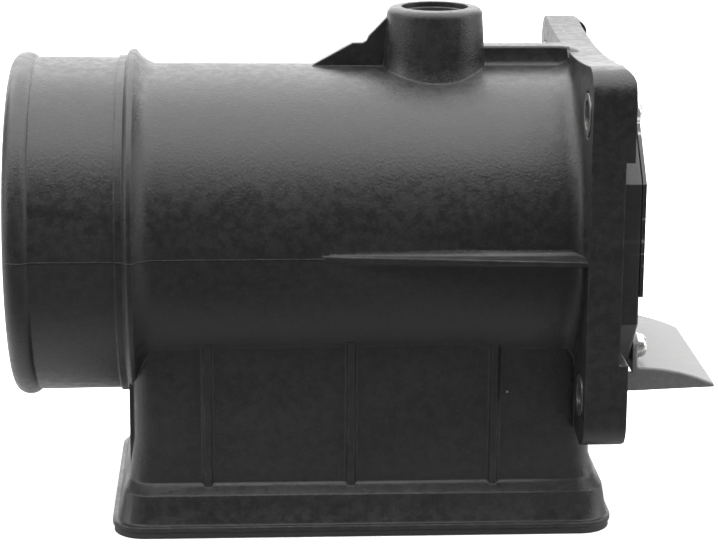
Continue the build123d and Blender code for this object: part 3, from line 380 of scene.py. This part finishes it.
def skinned(name, rings):
    # closed skin over rings of points that all have the same count
    count = len(rings[0])
    faces = [tuple(reversed(range(count))), tuple(range((len(rings) - 1) * count, len(rings) * count))]
    for level in range(len(rings) - 1):
        for k in range(count):
            low, high = level * count, (level + 1) * count
            n = (k + 1) % count
            faces.append((low + k, low + n, high + n, high + k))
    return solidFrom(name, [point for ring in rings for point in ring], faces)


def circleX(x, radius, turn, y=0.0, z=0.0):
    steps = [2 * math.pi * (k + 0.5) / turn for k in range(turn)]
    return [(x, y + radius * math.cos(a), z + radius * math.sin(a)) for a in steps]


def circleZ(z, radius, turn, x=0.0, y=0.0):
    steps = [2 * math.pi * (k + 0.5) / turn for k in range(turn)]
    return [(x + radius * math.cos(a), y + radius * math.sin(a), z) for a in steps]


def arcPoints(centre, radiusU, radiusV, start, end, steps=8):
    turned = [math.radians(start + (end - start) * k / steps) for k in range(steps + 1)]
    return [(centre[0] + radiusU * math.cos(a), centre[1] + radiusV * math.sin(a)) for a in turned]


def roundedPlan(u0, u1, v0, v1, corner, steps=7):
    outline = []
    for cu, cv, start in ((u1 - corner, v1 - corner, 0), (u0 + corner, v1 - corner, 90),
                          (u0 + corner, v0 + corner, 180), (u1 - corner, v0 + corner, 270)):
        outline += arcPoints((cu, cv), corner, corner, start, start + 90, steps)
    return outline


def block(name, x0, x1, y0, y1, z0, z1):
    plan = [(x0, y0), (x1, y0), (x1, y1), (x0, y1)]
    return skinned(name, [[(x, y, z0) for x, y in plan], [(x, y, z1) for x, y in plan]])


def combined(base, other, operation="UNION"):
    change = base.modifiers.new("combine", "BOOLEAN")
    change.operation, change.solver, change.object = operation, "MANIFOLD", other
    mesh = bpy.data.meshes.new_from_object(base.evaluated_get(bpy.context.evaluated_depsgraph_get()))
    base.modifiers.clear()
    base.data = mesh
    bpy.data.objects.remove(other)
    return base


def tubeSkin(s):
    path = [(s["lip"] + s["nose"] - s["nose"] * math.cos(math.radians(a)),
             s["bead"] - s["nose"] + s["nose"] * math.sin(math.radians(a))) for a in range(0, 91, 10)]
    crest = s["lip"] + s["nose"]
    for t in (0.2, 0.4, 0.6, 0.8, 0.93, 1.0):        # the bead's back stays full, then drops to the spigot
        fall = (s["bead"] - s["spigot"]) * (1 - t**2.6) ** 0.8
        path.append((crest + (s["beadFoot"] - crest) * t, s["spigot"] + fall))
    path += [(s["collarFace"] - 0.01, s["spigot"] - 0.2), (s["collarFace"], s["spigot"] + 0.4),
             (s["collarStep"], s["spigot"] + 0.4), (s["collarStep"] + 0.5, s["collarTop"] - 0.4),
             (s["collarStep"] + 1.1, s["collarTop"])]
    for t in (0.0, 0.12, 0.25, 0.4, 0.55, 0.7, 0.85, 1.0):
        fall = (s["collarTop"] - s["tube"]) * (1 - t) ** 1.8
        path.append((s["collarSlope"] + (s["collarEnd"] - s["collarSlope"]) * t, s["tube"] + fall))
    start, rise = s["ringStart"] - s["ringCone"], s["ring"] - s["tubeInlet"]
    for t, lift in ((-0.2, 0.0), (0.0, 0.04), (0.2, 0.2), (0.8, 0.8), (1.0, 0.96), (1.2, 1.0)):
        path.append((start + s["ringCone"] * t, s["tubeInlet"] + rise * lift))
    path += [(s["flangeBack"] - s["root"] - 0.8, s["ring"]), (s["flangeBack"] - s["root"], s["ring"])]
    for a in range(15, 91, 15):
        path.append((s["flangeBack"] - s["root"] + s["root"] * math.sin(math.radians(a)),
                     s["ring"] + s["root"] - s["root"] * math.cos(math.radians(a))))
    path.append((s["flangeBack"] + 1.5, s["ring"] + s["root"]))
    return skinned("tube", [circleX(x, r, s["turn"]) for x, r in path])


def flangeOutline(s, lowY=None):
    wide, high, corner, dip = s["flangeWide"], s["flangeHigh"], s["flangeCorner"], s["flangeDip"]
    reach = wide - corner
    swing = (reach**2 + dip**2) / (2 * dip)
    sag = lambda y: high - dip + swing - math.sqrt(swing**2 - y**2)
    top = [(wide, high - s["padLong"])] if lowY else []
    top += arcPoints((reach, high - corner), corner, corner, 0, 90, 10)
    stop = lowY if lowY else -reach
    steps = 6 if lowY else 40
    top += [(y, sag(y)) for y in (reach + (stop - reach) * k / steps for k in range(1, steps + 1))]
    if lowY:
        return top + [(lowY, high - s["padLong"])]
    top += arcPoints((-reach, high - corner), corner, corner, 90, 180, 10)[1:]
    return top + [(-y, -z) for y, z in top]


def flangePlate(s):
    back, face = s["flangeBack"], s["flangeFace"]
    outline = flangeOutline(s)
    plate = skinned("flange", [[(x, y, z) for y, z in outline] for x in (back, face)])
    pad = flangeOutline(s, s["flangeWide"] - s["padWide"])
    for side in (-1, 1):
        for level in (-1, 1):
            rings = [[(x, side * y, level * z) for y, z in pad] for x in (back + 1.0, 0.0)]
            combined(plate, skinned("pad", rings))
    high = s["flangeHigh"]
    crown = [(-s["crown"] + s["crown"] * math.sin(math.radians(a)),
              high - s["crownDrop"] + s["crownDrop"] * math.cos(math.radians(a))) for a in range(0, 91, 15)]
    side = [(back - 1, -high - 1), (back - 1, high)] + crown + [(0.0, 1.5 - high), (-0.9, -high), (-0.9, -high - 1)]
    wide = s["flangeWide"] + 1
    return combined(plate, skinned("sideView", [[(x, y, z) for x, z in side] for y in (-wide, wide)]), "INTERSECT")


def boxSkin(s):
    left = lambda z: s["boxLeft"] - 2.6 * max(0.0, -46.0 - z) / 19.2
    right = lambda z: s["boxRight"] + 4.3 * max(0.0, -51.0 - z) / 14.2
    levels = [(-15.0, s["boxLeft"], s["boxRight"], s["boxHalf"], 6.0)]
    levels += [(z, left(z), right(z), s["boxHalf"], 6.0) for z in (-46.0, -51.0, -56.0)]
    levels += [(-56.6, left(-56.6) - 0.05, right(-56.6) + 0.1, s["boxHalf"] + 0.5, 6.1),
               (-57.8, -116.0, -2.5, s["boxHalf"] + 2.8, 6.4), (-58.2, -116.2, -2.3, s["boxHalf"] + 3.35, 6.6),
               (s["rimTop"] + 0.4, -117.7, -1.15, s["boxHalf"] + 4.15, 7.4),
               (s["rimTop"], -118.0, -0.9, s["boxHalf"] + 4.45, 7.6),
               (s["rimTop"] - 0.05, -118.9, -0.4, s["boxHalf"] + 5.4, 8.0),
               (s["rimTop"] - 0.25, -119.0, -0.3, s["boxHalf"] + 5.5, 8.0),
               (s["rimBottom"], -119.0, -0.3, s["boxHalf"] + 5.5, 8.0)]
    rings = [[(x, y, z) for x, y in roundedPlan(x0, x1, -half, half, corner)] for z, x0, x1, half, corner in levels]
    box = skinned("box", rings)
    top = -math.sqrt(s["tube"] ** 2 - (s["boxHalf"] + s["ribHigh"]) ** 2)
    wide, high = s["ribWide"] / 2, s["ribHigh"]
    for x in s["ribs"]:
        for side in (-1, 1):
            # each rib has a narrower crest and a spread foot
            plan = [(x - wide - 0.5, 0.0), (x - wide, 0.3), (x - wide + 0.25, high), (x + wide - 0.25, high),
                    (x + wide, 0.3), (x + wide + 0.5, 0.0), (x + wide + 0.5, -2.0), (x - wide - 0.5, -2.0)]
            rings = [[(u, side * (s["boxHalf"] + v), z) for u, v in plan] for z in (-58.7, top)]
            combined(box, skinned("rib", rings))
    for side in (-1, 1):
        combined(box, block("endRib", s["boxLeft"] - high, s["boxLeft"] + 1, side * 23.5 - wide, side * 23.5 + wide,
                            -54.1, -28.0))
    return box


def fins(s):
    made = []
    stations = ((s["finStart"], 38.3), (s["ringStart"] - s["ringCone"], s["tubeInlet"]), (s["ringStart"], s["ring"]),
                (s["flangeBack"] + 1.0, s["ring"]))
    for side in (-1, 1):
        rings = []
        for x, foot in stations:
            reach = 38.25 + (s["finReach"] - 38.25) * (x - s["finStart"]) / (s["flangeBack"] + 1.0 - s["finStart"])
            half = s["finHalf"]
            root = [(36.0, half + 1.1), (foot + 0.02, half + 1.1), (foot + 0.3, half + 0.5), (foot + 1.0, half)]
            upper = [(min(y, reach - 0.02 * (4 - k)), z) for k, (y, z) in enumerate(root)] + [(reach, half - 0.15)]
            ring = upper + [(y, -z) for y, z in reversed(upper)]
            rings.append([(x, side * y, z) for y, z in ring])
        made.append(skinned("fin", rings))
    return made


def bossAndWeb(s):
    turn, x = 96, s["bossX"]
    levels = [(33.0, 14.4), (34.6, 13.7), (36.0, 13.1), (37.4, 12.6), (38.8, 12.25), (40.2, 12.05), (42.0, 11.95),
              (50.6, 11.45)]
    for a in (math.radians(20), math.radians(45), math.radians(70), math.radians(90)):
        levels.append((50.6 + s["bossRound"] * math.sin(a), 9.65 + s["bossRound"] * math.cos(a)))
    boss = skinned("boss", [circleZ(z, r, turn, x) for z, r in levels])
    half, top = s["webHalf"], s["webTop"]
    rings = []
    for at, foot, spread in ((x, s["tubeInlet"], 0.0), (s["ringStart"] - s["ringCone"], s["tubeInlet"], 0.0),
                             (s["ringStart"], s["ring"], 0.0),
                             (-13.8, s["ring"], 0.0), (-12.2, s["ring"], 0.2), (-11.0, s["ring"], 0.6),
                             (-10.2, s["ring"], 1.1), (-9.6, s["ring"], 1.3)):
        side = [(half + 1.1 + spread, 36.0), (half + 1.1 + spread, foot - 0.3), (half + 0.4 + spread, foot + 0.2),
                (half + spread, foot + 1.0), (half + spread, top - 0.4), (half - 0.4 + spread, top)]
        rings.append([(at, y, z) for y, z in side] + [(at, -y, z) for y, z in reversed(side)])
    combined(boss, skinned("web", rings))
    # the web's end runs out over the flange's dipped edge
    lap = [(-10.2, 38.0), (-10.2, top - 0.02), (-9.2, top - 0.25), (-7.6, 42.5), (-5.6, 41.4), (-5.6, 38.0)]
    fade = ((half, 0.0), (half + 1.1, 0.3), (half + 3.4, 2.2))
    fade = [(-y, drop) for y, drop in reversed(fade)] + list(fade)
    rings = [[(u, y, z - (0.0 if z < 39 else drop)) for u, z in lap] for y, drop in fade]
    combined(boss, skinned("webEnd", rings))
    gusset = [(-70.8, 38.5), (-61.2, 43.8), (-58.8, 43.8), (-57.9, 44.3), (-57.3, 45.5), (-52.4, 50.6), (x, 50.6),
              (x, 36.0), (-70.8, 36.0)]
    return combined(boss, skinned("gusset", [[(u, y, z) for u, z in gusset] for y in (-1.3, 1.3)]))


def connectorShroud(s):
    wide, high, wall = s["plugWide"] / 2, s["plugHigh"] / 2, s["plugWall"]
    x, z, face = s["plugX"], s["plugZ"], s["plugFace"]
    outline = roundedPlan(x - wide, x + wide, z - high, z + high, 2.5)
    shroud = skinned("shroud", [[(u, y, v) for u, v in outline] for y in (28.0, face)])
    top = z + high
    latch = [(face - 3, top - 0.5), (face - 3, top + 0.6), (face - 8, top + 2.2), (face - 8, top - 0.5)]
    combined(shroud, skinned("latch", [[(u, y, v) for y, v in latch] for u in (x - 4, x + 4)]))
    inner = roundedPlan(x - wide + wall, x + wide - wall, z - high + wall, z + high - wall, 1.4)
    socket = skinned("socket", [[(u, y, v) for u, v in inner] for y in (31.6, face + 1)])
    return shroud, socket


def mouldedHousing(s):
    body = tubeSkin(s)
    shroud, socket = connectorShroud(s)
    for part in [boxSkin(s), flangePlate(s), *fins(s), bossAndWeb(s), shroud]:
        combined(body, part)
    path = [(1.0, s["bore"]), (s["collarSlope"], s["bore"]), (s["collarSlope"] - 4, s["spigotBore"]),
            (s["lip"] + 1.0, s["spigotBore"]), (s["lip"] - 0.01, s["spigotBore"] + 0.5),
            (s["lip"] - 1.0, s["spigotBore"] + 0.5)]
    combined(body, skinned("boreCut", [circleX(x, r, s["turn"]) for x, r in path]), "DIFFERENCE")
    combined(body, socket, "DIFFERENCE")
    for y in (-s["boltY"], s["boltY"]):
        for z in (-s["boltZ"], s["boltZ"]):
            for name, radius, turn, ends in (("boltCut", s["sleeve"], 40, (-12.0, 1.0)),
                                             ("spotCut", s["spotFace"], 48, (-10.8, -9.5))):
                combined(body, skinned(name, [circleX(x, radius, turn, y, z) for x in ends]), "DIFFERENCE")
    combined(body, skinned("wellCut", [circleZ(z, s["bossWell"], 72, s["bossX"]) for z in (s["bossWellFloor"], 54.0)]),
             "DIFFERENCE")
    return body


def settled(made, name, material, sharp=30.0):
    # loose doubles merged, faces outwards, and creases kept only where the surface really turns
    shape = bmesh.new()
    shape.from_mesh(made.data)
    bmesh.ops.remove_doubles(shape, verts=shape.verts, dist=0.000002)
    bmesh.ops.recalc_face_normals(shape, faces=shape.faces)
    for edge in shape.edges:
        edge.smooth = len(edge.link_faces) == 2 and edge.calc_face_angle(0.0) < math.radians(sharp)
    for face in shape.faces:
        face.smooth = True
        face.material_index = 0
    shape.to_mesh(made.data)
    shape.free()
    made.name = made.data.name = name
    made.data.materials.clear()
    made.data.materials.append(material)
    return made


housing = settled(mouldedHousing(housingShape), "mouldedHousing", housingPlastic)
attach(housing, "root")
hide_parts("sensor_body")
print("moulded housing:", len(housing.data.polygons), "faces")

# ---- what repeats or follows the surface, grown by node trees


def growTree(name, inputs):
    tree = bpy.data.node_groups.new(name, "GeometryNodeTree")
    tree.interface.new_socket("Geometry", in_out="INPUT", socket_type="NodeSocketGeometry")
    for label, (kind, value) in inputs.items():
        tree.interface.new_socket(label, in_out="INPUT", socket_type="NodeSocket" + kind).default_value = value
    tree.interface.new_socket("Geometry", in_out="OUTPUT", socket_type="NodeSocketGeometry")
    return tree, tree.nodes.new("NodeGroupInput"), tree.nodes.new("NodeGroupOutput")


def closeTree(tree, outs, geometry, material):
    real = growStep(tree, "GeometryNodeRealizeInstances", {"Geometry": geometry}).outputs[0]
    painted = growStep(tree, "GeometryNodeSetMaterial", {"Geometry": real, "Material": material}).outputs[0]
    tree.links.new(painted, outs.inputs[0])


def grown(name, tree, points=(), **values):
    mesh = bpy.data.meshes.new(name)
    mesh.from_pydata([Vector(point) for point in points], [], [])
    made = bpy.data.objects.new(name, mesh)
    bpy.context.scene.collection.objects.link(made)
    change = made.modifiers.new("grow", "NODES")
    change.node_group = tree
    for item in tree.interface.items_tree:
        if item.item_type == "SOCKET" and item.in_out == "INPUT" and item.name in values:
            change[item.identifier] = values[item.name]
    plain = bpy.data.meshes.new_from_object(made.evaluated_get(bpy.context.evaluated_depsgraph_get()))
    made.modifiers.clear()
    made.data = plain
    return made


partingRidge = {"from": -141.4, "to": -69.0, "radius": 0.17, "wander": 0.16, "seed": 3.0}


def ridgeTree():
    # a thin line of flash that follows the housing's side from the outlet to the fin
    tree, ins, outs = growTree("ridgeTree", {
        "fromX": ("Float", 0.0), "toX": ("Float", 1.0), "side": ("Float", 1.0), "radius": ("Float", 0.0002),
        "wander": ("Float", 0.0001), "level": ("Float", 0.0), "seed": ("Float", 0.0)})
    away = maths(tree, "MULTIPLY", ins.outputs["side"], 0.07)
    start = growStep(tree, "ShaderNodeCombineXYZ", {"X": ins.outputs["fromX"], "Y": away, "Z": ins.outputs["level"]})
    end = growStep(tree, "ShaderNodeCombineXYZ", {"X": ins.outputs["toX"], "Y": away, "Z": ins.outputs["level"]})
    line = growStep(tree, "GeometryNodeCurvePrimitiveLine", {"Start": start.outputs[0], "End": end.outputs[0]})
    path = growStep(tree, "GeometryNodeResampleCurve", {"Curve": line.outputs[0], "Count": 320})
    inward = growStep(tree, "ShaderNodeCombineXYZ", {"Y": maths(tree, "MULTIPLY", ins.outputs["side"], -1.0)})
    shell = growStep(tree, "GeometryNodeObjectInfo", {"Object": housing})
    here = growStep(tree, "GeometryNodeInputPosition").outputs[0]
    found = growStep(tree, "GeometryNodeRaycast", {
        "Target Geometry": shell.outputs["Geometry"], "Source Position": here, "Ray Direction": inward.outputs[0],
        "Ray Length": 0.1})
    noise = growStep(tree, "ShaderNodeTexNoise", {"W": ins.outputs["seed"], "Vector": here, "Scale": 160.0},
                     noise_dimensions="4D").outputs["Fac"]
    sway = maths(tree, "MULTIPLY", maths(tree, "SUBTRACT", noise, 0.5), ins.outputs["wander"])
    shift = growStep(tree, "ShaderNodeCombineXYZ", {"Z": sway}).outputs[0]
    spot = growStep(tree, "ShaderNodeVectorMath", {0: found.outputs["Hit Position"], 1: shift},
                    operation="ADD").outputs[0]
    laid = growStep(tree, "GeometryNodeSetPosition", {
        "Geometry": path.outputs[0], "Position": spot, "Selection": found.outputs["Is Hit"]})
    bead = growStep(tree, "GeometryNodeCurvePrimitiveCircle", {"Resolution": 6, "Radius": ins.outputs["radius"]})
    skin = growStep(tree, "GeometryNodeCurveToMesh", {
        "Curve": laid.outputs[0], "Profile Curve": bead.outputs[0], "Fill Caps": True})
    closeTree(tree, outs, skin.outputs[0], housingPlastic)
    return tree


ridges = ridgeTree()
for side, label in ((-1.0, "Near"), (1.0, "Far")):
    ridge = grown("partingRidge" + label, ridges, fromX=partingRidge["from"] * mm, toX=partingRidge["to"] * mm,
                  side=side, radius=partingRidge["radius"] * mm, wander=partingRidge["wander"] * mm,
                  level=0.00002, seed=partingRidge["seed"])
    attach(ridge, "root")
print("parting ridges laid")

panScrew = {"head": 2.8, "headHigh": 2.25, "shank": 1.15, "thread": 1.4, "pitch": 1.15,
            "recess": 1.55, "recessWide": 0.36, "recessDeep": 1.15, "turnSeed": 5}


def screwHead(s):
    # pan head turned about its own axis, with a tapered cross recess
    high = s["headHigh"]
    profile = [(0.0, s["head"] * 0.97), (0.12, s["head"]), (0.34, s["head"]), (0.55, s["head"] * 0.965),
               (0.75, s["head"] * 0.88), (0.9, s["head"] * 0.72), (0.975, s["head"] * 0.5), (1.0, s["head"] * 0.25)]
    made = skinned("screwHead", [circleZ(high * t, r, 40) for t, r in profile])
    for turned in (False, True):
        rings = []
        for z, long, wide in ((high - s["recessDeep"], s["recess"] * 0.45, s["recessWide"] * 0.55),
                              (high + 0.3, s["recess"], s["recessWide"])):
            plan = [(-long, -wide), (long, -wide), (long, wide), (-long, wide)]
            rings.append([((-v, u, z) if turned else (u, v, z)) for u, v in plan])
        combined(made, skinned("recess", rings), "DIFFERENCE")
    return settled(made, "screwHead", zincSteel, 35.0)


def screwTree(head):
    # each seat point gets a head, a shank and a real thread, turned by its own chance angle
    tree, ins, outs = growTree("screwTree", {
        "shankRadius": ("Float", 0.001), "threadRadius": ("Float", 0.001), "shankLength": ("Float", 0.01),
        "pitch": ("Float", 0.001), "turnSeed": ("Int", 0)})
    long = ins.outputs["shankLength"]
    shank = growStep(tree, "GeometryNodeMeshCylinder", {
        "Vertices": 20, "Radius": ins.outputs["shankRadius"], "Depth": long}).outputs[0]
    drop = growStep(tree, "ShaderNodeCombineXYZ", {"Z": maths(tree, "MULTIPLY", long, -0.49)}).outputs[0]
    shank = growStep(tree, "GeometryNodeTransform", {"Geometry": shank, "Translation": drop}).outputs[0]
    turns = maths(tree, "DIVIDE", long, ins.outputs["pitch"])
    helix = growStep(tree, "GeometryNodeCurveSpiral", {
        "Resolution": 14, "Rotations": maths(tree, "MULTIPLY", turns, 0.9), "Start Radius": ins.outputs["shankRadius"],
        "End Radius": ins.outputs["shankRadius"], "Height": maths(tree, "MULTIPLY", long, 0.9)}).outputs[0]
    ridge = growStep(tree, "GeometryNodeCurvePrimitiveCircle", {
        "Resolution": 4, "Radius": maths(tree, "SUBTRACT", ins.outputs["threadRadius"], ins.outputs["shankRadius"])})
    thread = growStep(tree, "GeometryNodeCurveToMesh", {
        "Curve": helix, "Profile Curve": ridge.outputs[0], "Fill Caps": True}).outputs[0]
    sink = growStep(tree, "ShaderNodeCombineXYZ", {"Z": maths(tree, "MULTIPLY", long, -0.97)}).outputs[0]
    thread = growStep(tree, "GeometryNodeTransform", {"Geometry": thread, "Translation": sink}).outputs[0]
    top = growStep(tree, "GeometryNodeObjectInfo", {"Object": head}).outputs["Geometry"]
    whole = tree.nodes.new("GeometryNodeJoinGeometry")
    for part in (top, shank, thread):
        tree.links.new(part, whole.inputs[0])
    chance = growStep(tree, "FunctionNodeRandomValue", {2: 0.0, 3: 3.14, "Seed": ins.outputs["turnSeed"]},
                      data_type="FLOAT").outputs[1]
    spin = growStep(tree, "ShaderNodeCombineXYZ", {"Z": chance}).outputs[0]
    facing = growStep(tree, "FunctionNodeAlignRotationToVector", {"Rotation": spin, "Vector": (1.0, 0.0, 0.0)},
                      axis="Z").outputs[0]
    placed = growStep(tree, "GeometryNodeInstanceOnPoints", {
        "Points": ins.outputs["Geometry"], "Instance": whole.outputs[0], "Rotation": facing})
    closeTree(tree, outs, placed.outputs[0], zincSteel)
    return tree


head = screwHead(panScrew)
screws = screwTree(head)
for name in ("retainer_screws", "deflector_screws"):
    low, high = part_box(name)
    seat, level, reach = high.x - panScrew["headHigh"] * mm, (low.z + high.z) / 2, high.y - panScrew["head"] * mm
    piece = grown(name.split("_")[0] + "Screws", screws, [(seat, -reach, level), (seat, reach, level)],
                  shankRadius=panScrew["shank"] * mm, threadRadius=panScrew["thread"] * mm,
                  shankLength=(seat - low.x) * 0.98, pitch=panScrew["pitch"] * mm, turnSeed=panScrew["turnSeed"])
    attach(piece, "root")
    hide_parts(name)
    print(piece.name, len(piece.data.polygons), "faces")
bpy.data.objects.remove(head)

# ---- studio: floor, lamps and camera

studio = {"floorZ": -0.0681, "floorFront": -0.62, "floorBack": 3.4, "floorHalf": 2.4, "paper": 0.8, "glow": 0.45,
          "bounceFront": 0.1, "bounceBack": 0.55, "bounceTurn": (-0.11, -0.02)}


def studioFloor():
    mesh = bpy.data.meshes.new("studioFloor")
    half, z = studio["floorHalf"], studio["floorZ"]
    corners = [(-half, studio["floorFront"], z), (half, studio["floorFront"], z),
               (half, studio["floorBack"], z), (-half, studio["floorBack"], z)]
    mesh.from_pydata(corners, [], [(0, 1, 2, 3)])
    floor = bpy.data.objects.new("studioFloor", mesh)
    bpy.context.scene.collection.objects.link(floor)
    material = bpy.data.materials.new("palePaper")
    material.use_nodes = True
    tree = material.node_tree
    shader = tree.nodes["Principled BSDF"]
    fibre = node(tree, "TexNoise", {"Vector": node(tree, "TexCoord").outputs["Object"], "Scale": 900.0, "Detail": 4.0})
    # to the eye the paper is pale; to light bouncing up at the object its colour is painted shade, darkest in front
    direct = node(tree, "LightPath").outputs["Is Camera Ray"]
    paper = tinted(tree, fibre.outputs["Fac"], (studio["paper"],) * 3 + (1,), (studio["paper"] + 0.03,) * 3 + (1,))
    depth = node(tree, "SeparateXYZ", {0: node(tree, "TexCoord").outputs["Object"]}).outputs["Y"]
    paintedBounceShade = between(tree, depth, *studio["bounceTurn"], studio["bounceFront"], studio["bounceBack"])
    bounce = node(tree, "CombineColor", {"Red": paintedBounceShade, "Green": paintedBounceShade, "Blue": paintedBounceShade}).outputs[0]
    colour = tinted(tree, direct, bounce, paper)
    tree.links.new(colour, shader.inputs["Base Color"])
    shader.inputs["Roughness"].default_value = 0.9
    shader.inputs["Emission Color"].default_value = (1.0, 1.0, 1.0, 1)
    tree.links.new(maths(tree, "MULTIPLY", direct, studio["glow"]), shader.inputs["Emission Strength"])
    mesh.materials.append(material)
    return floor


studioFloor()

lamps = [
    # name, place, aim, size along x and y, radiance
    ("overheadBox", (-0.06, 0.62, 1.5), (-0.06, 0.62, 0.0), (4.0, 3.6), 3.7),
    ("leftBox", (-1.9, -0.1, 0.55), (-0.06, 0.0, 0.0), (1.0, 0.9), 3.0),
    ("rightBox", (1.9, -0.1, 0.55), (-0.06, 0.0, 0.0), (1.3, 1.1), 3.0),
    ("backBox", (-0.06, 2.2, 0.8), (-0.06, 0.0, 0.1), (4.0, 1.8), 2.4),
]
for name, spot, aim, (width, height), radiance in lamps:
    lamp = bpy.data.lights.new(name, "AREA")
    lamp.shape, lamp.size, lamp.size_y = "RECTANGLE", width, height
    lamp.energy = radiance * width * height * math.pi
    holder = bpy.data.objects.new(name, lamp)
    holder.location = spot
    holder.rotation_mode = "QUATERNION"
    holder.rotation_quaternion = (Vector(aim) - Vector(spot)).to_track_quat("-Z", "Y")
    holder.visible_camera = False
    bpy.context.scene.collection.objects.link(holder)

world = bpy.data.worlds.new("studioAir")
world.use_nodes = True
bpy.context.scene.world = world
air = world.node_tree
backdrop = air.nodes["Background"]
backdrop.inputs["Strength"].default_value = 1.0
seen = air.nodes.new("ShaderNodeLightPath").outputs["Is Camera Ray"]
air.links.new(tinted(air, seen, (0.2, 0.2, 0.2, 1), (1.0, 1.0, 1.0, 1)), backdrop.inputs["Color"])

cameraView = {"place": (-0.08836, -0.55721, 0.1304), "aim": (-0.059462, -0.003, -0.012236), "lens": 117.96,
              "roll": 0.326}
camera = bpy.data.objects.new("camera", bpy.data.cameras.new("camera"))
camera.data.lens, camera.data.sensor_width = cameraView["lens"], 36.0
camera.data.clip_start, camera.data.clip_end = 0.02, 20.0
toward = Vector(cameraView["aim"]) - Vector(cameraView["place"])
turned = toward.to_track_quat("-Z", "Y").to_matrix() @ Matrix.Rotation(math.radians(cameraView["roll"]), 3, "Z")
camera.rotation_mode = "QUATERNION"
camera.rotation_quaternion = turned.to_quaternion()
camera.location = cameraView["place"]
bpy.context.scene.collection.objects.link(camera)
bpy.context.scene.camera = camera
bpy.context.scene.view_settings.view_transform = "Standard"
print("studio ready")
